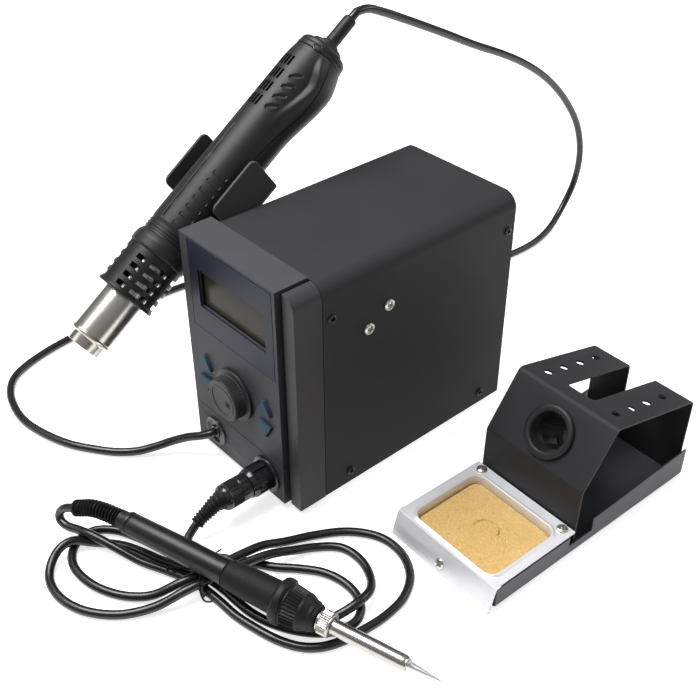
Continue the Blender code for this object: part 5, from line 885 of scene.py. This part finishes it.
# Guard
# A ring of heat-proof moulding round the hot tube, open in four rows of slots: in each third of a turn every
# row has one long slot and one short one. Its front lip is a little wider.
def pierced(outer, inner, kept, around=False):
    """A wall between two grids of points: both skins where kept is true, and a side wall wherever a kept
    cell borders an opening or the grid's edge."""
    rows, columns = outer.shape[:2]
    index = np.arange(rows * columns).reshape(rows, columns)
    if around:
        index = np.hstack([index, index[:, :1]])
    low, high = index[:-1], index[1:]
    cell = np.stack([low[:, :-1], low[:, 1:], high[:, 1:], high[:, :-1]], axis=-1)
    padded = np.pad(kept, 1)
    if around:
        padded[1:-1, 0], padded[1:-1, -1] = kept[:, -1], kept[:, 0]
    faces = [cell[kept], cell[kept][:, ::-1] + rows * columns]
    for first, second, (down, side) in ((0, 1, (-1, 0)), (1, 2, (0, 1)), (2, 3, (1, 0)), (3, 0, (0, -1))):
        neighbour = padded[1 + down: 1 + down + kept.shape[0], 1 + side: 1 + side + kept.shape[1]]
        edge = cell[kept & ~neighbour]
        faces.append(np.stack([
            edge[:, second], edge[:, first], edge[:, first] + rows * columns, edge[:, second] + rows * columns
        ], axis=-1))
    points = np.vstack([outer.reshape(-1, 3), inner.reshape(-1, 3)])
    faces = np.vstack(faces)
    used = np.unique(faces)
    lookup = np.zeros(len(points), int)
    lookup[used] = np.arange(len(used))
    return points[used], lookup[faces]


def gun_skin(radius, angle, station):
    """Points of the gun's skin: an angle in degrees from its right side towards its top, and a station."""
    radius, angle, station = np.broadcast_arrays(radius, np.radians(angle), station)
    local = np.stack([radius * np.cos(angle), radius * np.sin(angle), station], axis=-1)
    return world(gun(local.reshape(-1, 3))).reshape(local.shape)


ROW_MIDDLES = (38.2, 43.9, 49.6, 55.3)
SLOT_HALF = 1.45
SLOT_RANGES = ((-5, 41), (53, 72), (112, 158), (170, 190), (228, 274), (286, 340))
slot_edges = [edge for pair in SLOT_RANGES for edge in pair]
guard_angle = np.unique(np.round(np.concatenate([np.arange(-5, 355, 3.0), slot_edges]), 2))
guard_angle = guard_angle[guard_angle < 355]
guard_station = np.unique(np.round(np.concatenate(
    [np.linspace(35.4, 60.7, 14)] + [[middle - SLOT_HALF, middle + SLOT_HALF] for middle in ROW_MIDDLES]
), 2))
cell_angle = (guard_angle + np.append(guard_angle[1:], 355)) / 2
cell_station = (guard_station[:-1] + guard_station[1:]) / 2
in_row = np.any([np.abs(cell_station - middle) < SLOT_HALF for middle in ROW_MIDDLES], axis=0)
in_slot = np.any([(cell_angle > low) & (cell_angle < high) for low, high in SLOT_RANGES], axis=0)
guard_kept = ~(in_row[:, None] & in_slot[None, :])
guard_wall = pierced(
    gun_skin(16.75, guard_angle[None, :], guard_station[:, None]),
    gun_skin(14.75, guard_angle[None, :], guard_station[:, None]), guard_kept, around=True,
)
guard_lip = turned([
    (12.0, 33.5), (16.9, 33.5), (17.3, 33.9), (17.3, 35.4), (16.9, 35.8), (14.9, 35.8), (14.9, 35.2),
    (12.0, 35.2), (12.0, 33.5),
], GUN_START, GUN_ALONG, 96, 0.25)
guard_black = moulding("guard_black", "gun_plastic", (0.006, 0.006, 0.0064), 0.4, 0.3, 0.02, 0.42)
piece("guard_basket", joined(guard_wall, guard_lip), guard_black, "gun", "gun_guard")


# Gun shell
# Two moulded halves joined along the sides. The upper one has four groups of cooling slots, four small
# scoops, a raised strip between two long grooves and a row of grip marks; both swell round the fan.
FAN_MIDDLE = 188.0
BULGE_HEIGHT = 3.6


def smooth_step(share):
    """0 at 0 and 1 at 1, level at both."""
    return share ** 2 * (3 - 2 * share)


def bulge(station, angle):
    """The fan housing: a hill along the gun times a flat-topped hill round it, both smooth steps. Its upper
    flank is steep and follows a curved line; its lower one is gentle."""
    offset = station - FAN_MIDDLE
    along = np.clip(1 - np.abs(offset) / np.where(offset < 0, 38.0, 20.0), 0, 1)
    turn = (angle + 40.0 + 180.0) % 360.0 - 180.0
    crest = 67.0 + 18.0 * (1 - np.exp(-((station - 184.0) / np.where(station < 184.0, 19.2, 10.0)) ** 2))
    upper = np.clip((crest - turn) / 14.0, 0, 1)
    lower = np.clip((turn + 68.0) / 30.0, 0, 1)
    return BULGE_HEIGHT * smooth_step(along) * smooth_step(upper) * smooth_step(lower)


SHELL_LINE = np.array([
    (61, 16.9), (61.4, 17.3), (62.2, 17.5), (66.6, 17.45), (67.4, 17.3), (69.4, 16.4), (70.6, 15.6),
    (71.3, 15.5), (71.6, 16.0), (72.6, 16.0), (72.9, 15.5), (73.3, 15.5), (73.6, 16.0), (74.6, 16.0),
    (74.9, 15.5), (75.3, 15.5), (75.6, 16.0), (76.6, 16.0), (76.9, 15.5), (77.6, 15.6), (78.8, 16.0),
    (192, 16.0), (197, 15.7), (202.4, 15.1), (203, 14.8),
])


def bore_radius(station):
    """The radius of the shell's hollow: narrow where it grips the tube, wide over the fan."""
    return np.interp(station, [61, 64, 64.4, 192, 203], [12.1, 12.1, 13.8, 13.8, 12.8])


def smooth_box(value, low, high, edge):
    """1 between low and high, 0 outside, with a soft edge of this width."""
    return np.clip((value - low) / edge + 0.5, 0, 1) * np.clip((high - value) / edge + 0.5, 0, 1)


RIB_STARTS = [80.3 + 5.75 * number for number in range(7)]


def seam_angle(station):
    """The angle of the line where the halves meet on the right: it dips round the fan's hill."""
    places = [61, 135, 142, 147, 153, 160, 167, 174, 180, 186, 191, 196, 201, 204]
    angles = [12.5, 12.5, 11.8, 10.4, 5.6, 1.0, -1.0, -0.6, 1.6, 5.4, 9.0, 11.6, 13.2, 13.4]
    return np.interp(station, places, angles)


def shell_radius(station, angle):
    """The shell's outer radius: its turned line, the fan's hill, and the fine details pressed in or out."""
    radius = np.interp(station, SHELL_LINE[:, 0], SHELL_LINE[:, 1]) + bulge(station, angle)
    share = (station - 79.0) / 64.0
    groove_right, groove_left = 86.1 + 8.4 * share, 118.0 + 4.9 * share
    for groove in (groove_right, groove_left):
        sunk = smooth_box(angle, groove - 1.0, groove + 1.0, 0.9) * smooth_box(station, 80, 144, 1.0)
        radius = radius - 0.5 * sunk
    strip = smooth_box(angle, groove_right + 1.8, groove_left - 1.8, 1.5)
    radius = radius + 0.2 * strip * smooth_box(station, 80.5, 143.5, 1.5)
    for start in RIB_STARTS:
        cross = smooth_box(station, start - 0.2, start + 0.2, 0.3) * smooth_box(angle, 29.6, 61.4, 1.0)
        arms = smooth_box(station, start, start + 1.9, 0.5) * (
            smooth_box(angle, 29.0, 30.6, 0.9) + smooth_box(angle, 60.4, 62.0, 0.9)
        )
        radius = radius + 0.42 * np.maximum(cross, np.clip(arms, 0, 1))
    for number in range(4):
        middle = 163.0 + 7.0 * number
        arc = (angle - 54.0) * 16.4 * math.pi / 180.0
        along = (station - middle) * 0.594 - arc * 0.804
        across = (station - middle) * 0.804 + arc * 0.594
        half = 1.15 * np.sqrt(np.clip(1 - (along / 4.1) ** 2, 0, 1))
        radius = radius - 1.0 * np.clip((half - np.abs(across)) / 0.45, 0, 1)
        lip = np.clip(1 - np.abs(across + half + 0.35) / 0.4, 0, 1) * np.clip(half / 0.5, 0, 1)
        radius = radius + 0.3 * lip
    seam = np.abs(angle - seam_angle(station))
    return radius - 0.8 * np.clip(1 - seam / 0.8, 0, 1)


SEAM_HOME = 12.25
VENT_ANGLES = (84.5, 94.2, 103.9, 113.6)
VENT_MIDDLES = (162.0, 171.4, 180.7, 190.1)
VENT_HALF_LENGTH = 3.3
VENT_HALF_ANGLE = 2.9
vent_angle_edges = [middle + side * VENT_HALF_ANGLE for middle in VENT_ANGLES for side in (-1, 1)]
vent_station_edges = [middle + side * VENT_HALF_LENGTH for middle in VENT_MIDDLES for side in (-1, 1)]
rib_columns = [28.4, 29.0, 29.6, 30.2, 30.8, 31.4, 59.6, 60.2, 60.8, 61.4, 62.0, 62.6]
seam_columns = [11.3, 11.75, 12.25, 12.75, 13.2]
plain_columns = [spot for spot in np.linspace(-14.9, 164.9, 128) if abs(spot - SEAM_HOME) > 1.2]
top_angle = np.unique(np.round(np.concatenate([
    plain_columns, vent_angle_edges, rib_columns, seam_columns,
]), 2))
top_station = np.unique(np.round(np.concatenate([
    np.linspace(61, 203, 210), SHELL_LINE[:, 0], vent_station_edges,
    [start + step for start in RIB_STARTS for step in (-0.4, -0.12, 0.12, 0.4)],
]), 2))
top_mesh_angle, top_mesh_station = np.meshgrid(top_angle, top_station)
seam_share = np.clip(1 - np.abs(top_mesh_angle - SEAM_HOME) / 27.0, 0, 1)
top_mesh_angle = top_mesh_angle + (seam_angle(top_mesh_station) - SEAM_HOME) * seam_share
top_outer = gun_skin(shell_radius(top_mesh_station, top_mesh_angle), top_mesh_angle, top_mesh_station)
top_inner = gun_skin(bore_radius(top_mesh_station), top_mesh_angle, top_mesh_station)
middle_angle = (top_angle[:-1] + top_angle[1:]) / 2
middle_station = (top_station[:-1] + top_station[1:]) / 2
vent_columns = np.any([np.abs(middle_angle - vent) < VENT_HALF_ANGLE for vent in VENT_ANGLES], axis=0)
vent_rows = np.any([np.abs(middle_station - vent) < VENT_HALF_LENGTH for vent in VENT_MIDDLES], axis=0)
shell_black = moulding("shell_black", "gun_plastic", (0.011, 0.011, 0.0122), 0.35, 0.36, 0.03, 0.38)
piece(
    "shell_upper", pierced(top_outer, top_inner, ~(vent_rows[:, None] & vent_columns[None, :])), shell_black,
    "gun", "gun_shell_top", crease=48,
)
low_angle = np.linspace(165.1, 344.9, 100)
low_station = np.unique(np.round(np.concatenate([np.linspace(61, 203, 110), SHELL_LINE[:, 0]]), 2))
low_mesh_angle, low_mesh_station = np.meshgrid(low_angle, low_station)
low_radius = np.interp(low_mesh_station, SHELL_LINE[:, 0], SHELL_LINE[:, 1])
low_radius = low_radius + bulge(low_mesh_station, low_mesh_angle)
low_outer = gun_skin(low_radius, low_mesh_angle, low_mesh_station)
low_inner = gun_skin(bore_radius(low_mesh_station), low_mesh_angle, low_mesh_station)
low_kept = np.ones((len(low_station) - 1, len(low_angle) - 1), bool)
piece(
    "shell_lower", pierced(low_outer, low_inner, low_kept), shell_black, "gun", "gun_shell_bottom", crease=48
)

# Rear cap, sleeve and fan
# The cap closes the handle with a step and a short collar, and a small pin stands out of its right side. The
# sleeve that guards the cord has a bead where it leaves the cap. The fan blows from behind the slots.
cap_shape = turned([
    (4.3, 203.3), (14.9, 203.3), (15.0, 203.6), (15.0, 205.4), (14.5, 205.7), (14.4, 206.0), (14.7, 206.3),
    (14.6, 208.2), (13.9, 209.4), (12.6, 210.0), (10.2, 210.0), (9.9, 210.4), (9.6, 212.4), (8.8, 212.9),
    (6.6, 213.0), (4.3, 213.0), (4.3, 203.3),
], GUN_START, GUN_ALONG, 96, 0.4)
piece("rear_cap_turned", cap_shape, shell_black, "gun", "gun_rear_cap")
sleeve_shape = turned([
    (0, 204.3), (4.0, 204.3), (4.0, 213.3), (5.8, 213.3), (5.9, 214.0), (5.6, 215.0), (4.4, 215.4),
    (4.05, 216.2), (3.95, 232.4), (3.7, 233.6), (3.2, 234.0), (0, 234.0),
], GUN_START, GUN_ALONG, 64, 0.4)
HOOK_TURN = math.radians(58)
HOOK_PLACE = gun([(14.0 * math.cos(HOOK_TURN), 14.0 * math.sin(HOOK_TURN), 204.6)])[0]
HOOK_OUT = gun([(math.cos(HOOK_TURN), math.sin(HOOK_TURN), 0.35)])[0] - GUN_START
hook_shape = turned([
    (0, -4.0), (2.9, -4.0), (2.9, 0.6), (2.6, 1.1), (1.9, 1.2), (1.6, 0.3), (1.3, 0.2), (0.9, 0.6),
    (0, 0.8),
], HOOK_PLACE, HOOK_OUT, 48, 0.3)
piece("cap_hook_pin", hook_shape, connector_gloss, "gun")
piece("cord_sleeve", sleeve_shape, boot_rubber, "gun", "gun_strain_relief")
fan_black = moulding("fan_black", "gun_plastic", (0.02, 0.02, 0.021), 0.3, 0.4, 0.01)
dress(fan_black, "fan_impeller")

# Iron handle, grip and front housing
# The handle is a black moulded tube with a ring at its rear. A soft rubber sleeve is pulled over its front,
# and a ribbed screw cap holds the heater's tube.
IRON_REAR = np.array([51.3, -80.0, 23.0])
IRON_YAW, IRON_DIP = math.radians(18.98), math.radians(3.65)
IRON_ALONG = np.array([
    math.cos(IRON_DIP) * math.cos(IRON_YAW), math.cos(IRON_DIP) * math.sin(IRON_YAW), -math.sin(IRON_DIP)
])
handle_black = moulding("handle_black", "gun_plastic", (0.0075, 0.0075, 0.0083), 0.3, 0.27, 0.01, 0.38)
handle_shape = turned([
    (3.2, 0), (5.6, 0), (6.2, 0.4), (6.25, 2.2), (5.75, 2.6), (5.75, 3.0), (6.2, 3.4), (6.25, 10),
    (6.55, 30), (6.5, 56), (6.9, 61.4), (6.9, 62.0), (6.0, 62.0), (6.0, 91.7), (3.2, 91.7), (3.2, 0),
], IRON_REAR, IRON_ALONG, 72, 0.3)
piece("handle_tube", handle_shape, handle_black, "iron", "iron_handle")
grip_rubber = mottled(
    "grip_rubber", "black_rubber", (0.006, 0.006, 0.007), (0.0145, 0.0145, 0.0155), (2.2, 5),
    (5, 3, 0.16, 0.52), (0.7, 3, 0.7, 0.07), IOR=1.45, Specular_IOR_Level=0.2,
)
grip_shape = turned([
    (6.3, 62.3), (6.9, 62.3), (7.4, 63.2), (7.55, 66), (8.2, 75), (8.45, 84), (8.6, 90), (8.8, 91.4),
    (8.5, 91.7), (6.3, 91.7), (6.3, 62.3),
], IRON_REAR, IRON_ALONG, 72, 0.6)
piece("grip_sleeve", grip_shape, grip_rubber, "iron", "iron_grip")
cap_black = moulding("cap_black", "gun_plastic", (0.0095, 0.0095, 0.0105), 0.4, 0.38, 0.02, 0.25)
housing_shape = turned([
    (4.2, 92.0), (10.0, 92.0), (11.3, 92.5), (11.9, 93.6), (12.0, 95.0), (11.9, 96.2), (11.2, 97.0),
    (10.1, 97.3), (10.1, 98.2), (10.5, 98.6), (10.4, 99.4), (10.3, 100.4), (10.15, 101.6), (10.0, 102.8),
    (9.85, 104.0), (9.7, 105.2), (9.6, 105.9), (9.7, 106.4), (9.5, 107.4), (9.0, 108.4), (8.2, 110.2),
    (7.9, 110.8), (7.8, 112.2), (7.2, 112.8), (6.9, 114.2), (6.6, 114.6), (4.2, 114.6), (4.2, 92.0),
], IRON_REAR, IRON_ALONG, 288, 0.25, (98.3, 106.0, 0.8, 36))
piece("housing_cap", housing_shape, cap_black, "iron", "iron_front_housing")

# Iron nut, tube and tip
# A nickel plated nut with two smooth rims and a straight knurl clamps the polished steel tube. The long
# conical tip stands out of the tube's mouth.
nickel = mottled(
    "nickel_plate", "chrome", (0.42, 0.4, 0.37), (0.58, 0.56, 0.52), (4, 3),
    (1.5, 3, 0.14, 0.22), (0.6, 2, 0.012), Metallic=1.0,
)
nut_shape = turned([
    (4.2, 114.9), (5.2, 114.9), (5.4, 115.4), (5.2, 116.0), (5.5, 116.3), (6.1, 116.4), (6.2, 116.8),
    (6.2, 118.0), (6.2, 119.2), (6.2, 120.4), (6.2, 121.2), (5.9, 121.5), (6.15, 121.7), (6.1, 122.2),
    (5.3, 122.3), (4.2, 122.3), (4.2, 114.9),
], IRON_REAR, IRON_ALONG, 216, 0.18, (116.6, 121.3, 0.32, 36))
piece("nut_knurled", nut_shape, nickel, "nut", "iron_nut")
tube_steel = Finish("tube_steel", "chrome", Metallic=1.0)
lengthwise = tube_steel.streaks((0.04, 1.0, 1.0), (0, 0, -IRON_YAW))
tube_steel.colour(tube_steel.blend(tube_steel.noise(12, 2), (0.4, 0.385, 0.36), (0.5, 0.485, 0.46)))
tube_steel.rough(lengthwise * 0.12 + 0.2)
tube_steel.relief(lengthwise, 0.008)
tube_shape = turned([
    (2.9, 94.0), (3.9, 94.0), (3.9, 160.6), (3.65, 161.6), (3.75, 162.2), (3.4, 162.5), (2.9, 162.5),
    (2.9, 94.0),
], IRON_REAR, IRON_ALONG, 64, 0.3)
piece("tube_steel_barrel", tube_shape, tube_steel, "iron", "iron_tube")
tip_plate = mottled(
    "tip_plate", "chrome", (0.5, 0.5, 0.5), (0.66, 0.66, 0.65), (3, 3),
    (1, 3, 0.15, 0.34), Metallic=1.0,
)
tip_shape = turned([
    (0, 152.9), (1.7, 152.9), (1.7, 130.6), (2.6, 130.6), (2.6, 163.1), (2.1, 163.9), (1.75, 166.0),
    (1.5, 168.5), (0.3, 179.3), (0, 179.5),
], IRON_REAR, IRON_ALONG, 48, 0.4)
piece("tip_cone", tip_shape, tip_plate, "iron", "iron_tip")

# Iron boot
# The same black rubber as the plug's boot: deep ribs that let it bend, drooping under the cord's weight.
boot_path = smooth_route([
    IRON_REAR - IRON_ALONG * 0.3, IRON_REAR - IRON_ALONG * 6, (32.0, -87.6, 23.4), (21.4, -93.1, 19.6)
], 0.16)
boot_ribs = ribbed(boot_path, 5.1, 4.6, 1.95, 1.7, (4.0, 1.0), 40)
piece("iron_boot_ribs", boot_ribs, boot_rubber, "iron", "iron_boot")

# Stand base and bracket
# Both are folded steel. The channel base is a purplish grey satin paint, the bracket has the case's fine
# black texture, with eight rest holes in its top and a slot that is open to the rear.
STAND_YAW = math.radians(-2.0)
stand_x = np.array([math.cos(STAND_YAW), math.sin(STAND_YAW), 0.0])
stand_y = np.array([-math.sin(STAND_YAW), math.cos(STAND_YAW), 0.0])
STAND_CORNER = np.array([132.3, 31.2, 0.0])
channel_paint = Finish("channel_paint", "channel_paint", IOR=1.45, Specular_IOR_Level=0.35)
# Painted shade: all of the channel short of its right wall's outer face gets a dark copy of the paint,
# standing in for the shade inside it and under the bracket; only that outer face gets the light grey.
RIGHT_WALL_START = 70.9 * MM
right_wall = float(world([STAND_CORNER])[0] @ stand_x + RIGHT_WALL_START)
outside = (channel_paint.along(stand_x) - right_wall).above(0.0)
thin, thick = channel_paint.noise(30, 3), channel_paint.noise(0.5, 2, 0.6)
cloudy = thin * 0.6 + thick * 0.4
channel_paint.colour(channel_paint.blend(
    outside, channel_paint.blend(cloudy, (0.03, 0.029, 0.036), (0.046, 0.045, 0.055)),
    channel_paint.blend(cloudy, (0.15, 0.147, 0.17), (0.2, 0.196, 0.225)),
))
channel_paint.rough(thin * 0.12 + thick * 0.1 + 0.36)
channel_paint.relief(thick, 0.06)
finished_copy("base_channel", "stand_base", channel_paint, "iron_stand", 0.25)
bracket_paint = powder_coat("bracket_paint", "painted_steel", (0.0165, 0.0163, 0.0185), 0.6)
finished_copy("bracket_sheet", "stand_bracket", bracket_paint, "iron_stand", 0.28, segments=3)

# Iron holder
# A black phenolic funnel with a wide flange sits in the bracket's slanted plate, in front of a steel tube
# with four slots that let the heat out.
def stand(points):
    """(across, back, up) in millimetres in the stand's own frame, to the unit's frame."""
    return STAND_CORNER + np.asarray(points, float) @ np.array([stand_x, stand_y, (0.0, 0.0, 1.0)])


bakelite = moulding("bakelite", "gloss_black", (0.011, 0.011, 0.012), 0.5, 0.36, 0.02)
HOLDER_MIDDLE = stand([(37.0, 75.99, 55.57)])[0]
holder_out = stand([(0, -0.821, 0.571)])[0] - STAND_CORNER
funnel_shape = turned([
    (10.4, 0.9), (10.4, -8.0), (9.0, -8.0), (9.0, -2.6), (9.4, -1.6), (10.0, 0.6), (10.6, 2.4), (11.2, 3.2),
    (13.0, 3.3), (14.2, 2.9), (14.7, 2.0), (14.7, 0.9), (10.4, 0.9),
], HOLDER_MIDDLE, holder_out, 96, 0.5)
piece("holder_ring", funnel_shape, bakelite, "iron_stand", "holder_funnel")
dress(bracket_paint, "holder_tube")


# Sponge tray
# Pressed from one bright plated sheet: a pan with a raised bead round it for the sponge, a flat rim, and an
# apron folded down at the front.
def rounded_loop(left, low, right_side, high, radius, count=200):
    """A rounded rectangle as evenly numbered points: each side and corner has the same share of them."""
    corner = np.linspace(0, np.pi / 2, count // 8 + 1)
    side = np.linspace(0, 1, count // 8 + 1)[1:-1]
    centres = ((right_side - radius, low + radius), (right_side - radius, high - radius),
               (left + radius, high - radius), (left + radius, low + radius))
    starts = (-np.pi / 2, 0, np.pi / 2, np.pi)
    arcs = [
        np.stack([cx + radius * np.cos(start + corner), cy + radius * np.sin(start + corner)], axis=1)
        for (cx, cy), start in zip(centres, starts)
    ]
    parts = []
    for arc, following in zip(arcs, arcs[1:] + arcs[:1]):
        parts.append(arc)
        parts.append(arc[-1] + side[:, None] * (following[0] - arc[-1]))
    return np.vstack(parts)


tray_steps = [
    (2.6, 16.6), (2.2, 16.62), (1.8, 16.8), (1.4, 17.15), (1.0, 17.4), (0.6, 17.5), (0.3, 17.42),
    (0.05, 17.15), (-0.15, 16.7), (-0.3, 16.0), (-0.45, 14.0), (-0.6, 10.0), (-0.8, 8.4), (-1.2, 7.5),
    (-1.8, 7.0), (-2.8, 6.75), (-5.5, 6.7),
]
POCKET_CENTRE = np.array([36.25, 31.8])
SHEET_THICKNESS = 0.9
rim_loop = rounded_loop(0.6, 4.9, 70.9, 63.8, 0.35)
loops = [np.column_stack([rim_loop, np.full(len(rim_loop), 16.6)])]
for grow, height in tray_steps:
    loop = rounded_loop(7.5 - grow, 7.8 - grow, 65.0 + grow, 55.8 + grow, max(6.0 + grow, 0.5))
    loops.append(np.column_stack([loop, np.full(len(loop), height)]))
loops.append(np.column_stack([np.full((len(rim_loop), 2), POCKET_CENTRE), np.full(len(rim_loop), 6.7)]))
top_skin = np.array(loops)
under_skin = top_skin - np.array([0, 0, SHEET_THICKNESS])
under_skin[5:12, :, :2] = np.array([
    rounded_loop(7.5 - grow, 7.8 - grow, 65.0 + grow, 55.8 + grow, 6.0 + grow)
    for grow in (1.9, 1.7, 1.5, 1.3, 1.0, 0.8, 0.6)
])
under_skin[5:12, :, 2] = np.array([15.75, 15.7, 15.5, 15.0, 14.0, 12.0, 9.0])[:, None]
tray_grid = np.vstack([top_skin, under_skin[::-1]])
tray_points, tray_faces = woven(tray_grid, around=True, along=True)
apron_line = fold_line([(0.5, 1.3), (5.0, 16.1), (8.0, 16.1)], 1.2, 8)
apron_points, apron_faces = sheet_solid(apron_line, 0.95, 0.0, 71.5)
tray_metal = Finish("tray_plate", "tray_metal", Metallic=0.5)
brushed = tray_metal.streaks((0.05, 1.0, 1.0))
tray_metal.colour(tray_metal.blend(tray_metal.noise(16, 3), (0.7, 0.7, 0.73), (0.84, 0.84, 0.87)))
tray_metal.rough(tray_metal.noise(7, 3) * 0.14 + 0.36)
tray_metal.relief(brushed, 0.012)
piece(
    "tray_pressing", joined(
        (world(stand(tray_points)), tray_faces), (world(stand(apron_points)), apron_faces)
    ), tray_metal, "iron_stand", "sponge_tray", crease=30,
)

# Sponge
# A pad of yellow cellulose sponge, cut with rounded corners. A round die has marked an arc near its middle,
# and its surface is finely open.
EDGE_START = 0.93
rings = np.concatenate([np.linspace(0.004, 0.9, 46), [EDGE_START, 0.955, 0.975, 0.99, 1.0]])
edge = rounded_loop(8.4, 8.7, 64.1, 54.9, 5.0, 240)
reach = edge - POCKET_CENTRE
flat = POCKET_CENTRE + rings[:, None, None] * reach[None]
drop = 1.4 * np.clip((rings - EDGE_START) / (1 - EDGE_START), 0, 1) ** 2.2
swell = 0.35 * (1 - rings ** 2)


def lumps(x, y, seed, size):
    """A smooth uneven surface: the sum of six waves in directions and with phases drawn from the seed."""
    rng = np.random.default_rng(seed)
    total = 0
    for _ in range(6):
        heading, phase = rng.uniform(0, 2 * np.pi, 2)
        length = size * rng.uniform(0.7, 1.4)
        total = total + np.sin((x * math.cos(heading) + y * math.sin(heading)) * 2 * np.pi / length + phase)
    return total / 6


MARK_RADIUS = 7.0
MARK_DEPTH = 1.6
SPONGE_TOP = 13.3
dx, dy = flat[..., 0] - 38.5, flat[..., 1] - 31.5
mark_angle = np.degrees(np.arctan2(dy, dx)) % 360
mark = np.clip(1 - np.abs(np.hypot(dx, dy) - MARK_RADIUS) / 0.6, 0, 1) * smooth_box(mark_angle, 15, 200, 10)
top_height = SPONGE_TOP - drop[:, None] + swell[:, None] - MARK_DEPTH * mark
for depth, seed, size in ((0.16, 4, 9), (0.06, 9, 2.3)):
    top_height = top_height + depth * lumps(flat[..., 0], flat[..., 1], seed, size)
upper = np.dstack([flat, top_height])
wall_heights = np.linspace(11.4, 7.2, 8)
wall_push = 0.25 * np.sin(np.linspace(0, np.pi, 8))
walls = np.array([
    np.column_stack([POCKET_CENTRE + reach * (1 + push / 26), np.full(len(edge), height)])
    for height, push in zip(wall_heights, wall_push)
])
floor_loop = np.column_stack([POCKET_CENTRE + reach * 0.004, np.full(len(edge), 7.1)])[None]
sponge_points, sponge_faces = woven(np.vstack([upper, walls, floor_loop]), around=True)
foam = Finish("sponge_foam", "sponge_yellow", Roughness=0.95, Specular_IOR_Level=0.15)
pores, dots = (
    foam.node("ShaderNodeTexVoronoi", {"feature": "F1"}, {"Vector": foam.place, "Scale": scale}, "Distance")
    for scale in (1700.0, 260.0)
)
specks = foam.noise(0.9, 4, 0.7)
tan = foam.blend(foam.noise(9, 4), (0.74, 0.48, 0.17), (0.87, 0.61, 0.26))
grain = foam.node("ShaderNodeMapRange", None, {
    "Value": foam.noise(1.0, 3, 0.75), "From Min": 0.38, "From Max": 0.62,
})
speckled = foam.blend(grain * 0.4, tan, (0.5, 0.28, 0.085))
spots = (0.16 - dots).above(0.0) * 0.5 + (specks - 0.52).above(0.0) * 0.16
foam.colour(foam.blend(spots, speckled, (0.5, 0.3, 0.1)))
foam.relief(pores * 0.5 + specks * 0.5 + grain * 0.5, 0.6)
sponge = piece(
    "sponge_pad", (world(stand(sponge_points)), sponge_faces), foam, "sponge", "sponge", crease=60
)


# Screws
# Cross-recessed pan heads: four black ones on each long wall of the case, two bright ones on its right wall,
# and three on the stand.
def cross_head(place, out, radius, height):
    """A domed screw head: a circle's grid that rises as an ellipse and sinks in a cross near its middle,
    closed by a flat underside."""
    out = np.asarray(out, float) / np.linalg.norm(out)
    across = np.cross(out, (0.0, 0.0, 1.0)) if abs(out[2]) < 0.9 else np.array([1.0, 0.0, 0.0])
    across /= np.linalg.norm(across)
    other = np.cross(out, across)
    share = np.linspace(0.002, 1, 26)[:, None]
    turn = np.linspace(0, 2 * np.pi, 64, endpoint=False)[None]
    x, y = share * np.cos(turn), share * np.sin(turn)
    lift = height * (0.35 + 0.65 * np.sqrt(np.clip(1 - share ** 2, 0, 1))) + 0 * turn
    tilt_x, tilt_y = x * math.cos(0.5) - y * math.sin(0.5), x * math.sin(0.5) + y * math.cos(0.5)
    arm = np.minimum(np.abs(tilt_x), np.abs(tilt_y))
    reach = np.maximum(np.abs(tilt_x), np.abs(tilt_y))
    lift = lift - 0.85 * height * smooth_box(arm, -1, 0.17, 0.1) * smooth_box(reach, -1, 0.62, 0.12)
    dome = place + radius * (x[..., None] * across + y[..., None] * other) + lift[..., None] * out
    circle = np.cos(turn)[..., None] * across + np.sin(turn)[..., None] * other
    skirt = place + radius * circle
    under = place + 0.002 * radius * circle
    points, faces = woven(np.concatenate([dome, skirt, under]), around=True)
    return world(points), faces


screw_black = mottled(
    "screw_black", "painted_steel", (0.02, 0.02, 0.022), (0.06, 0.06, 0.064), (1.5, 3),
    (1.0, 3, 0.2, 0.2), Metallic=0.9,
)
screw_bright = mottled(
    "screw_bright", "bright_steel", (0.45, 0.43, 0.4), (0.7, 0.68, 0.64), (1.5, 3),
    (1.0, 3, 0.2, 0.2), Metallic=1.0,
)
for number, (y, z) in enumerate(((26.8, 121.3), (156.1, 121.0), (144.4, 12.6), (39.2, 12.6)), 1):
    piece(f"case_screw_right_{number}", cross_head((90.0, y, z), (1, 0, 0), 2.6, 1.3), screw_black, "station")
    piece(f"case_screw_left_{number}", cross_head((0.0, y, z), (-1, 0, 0), 2.6, 1.3), screw_black, "station")
for number, (y, z) in enumerate(((65.8, 112.3), (51.9, 103.6)), 1):
    piece(f"bracket_screw_{number}", cross_head((90.0, y, z), (1, 0, 0), 3.3, 1.7), screw_bright, "station")
stand_screws = (
    ((6.8, 60.0, 16.6), (0, 0, 1)), ((65.2, 60.0, 16.6), (0, 0, 1)), ((35.4, 1.62, 6.4), (0, -0.957, 0.291)),
)
for number, (spot, facing) in enumerate(stand_screws, 1):
    out = stand([facing])[0] - STAND_CORNER
    piece(f"stand_screw_{number}", cross_head(stand([spot])[0], out, 3.0, 1.5), screw_bright, "iron_stand")
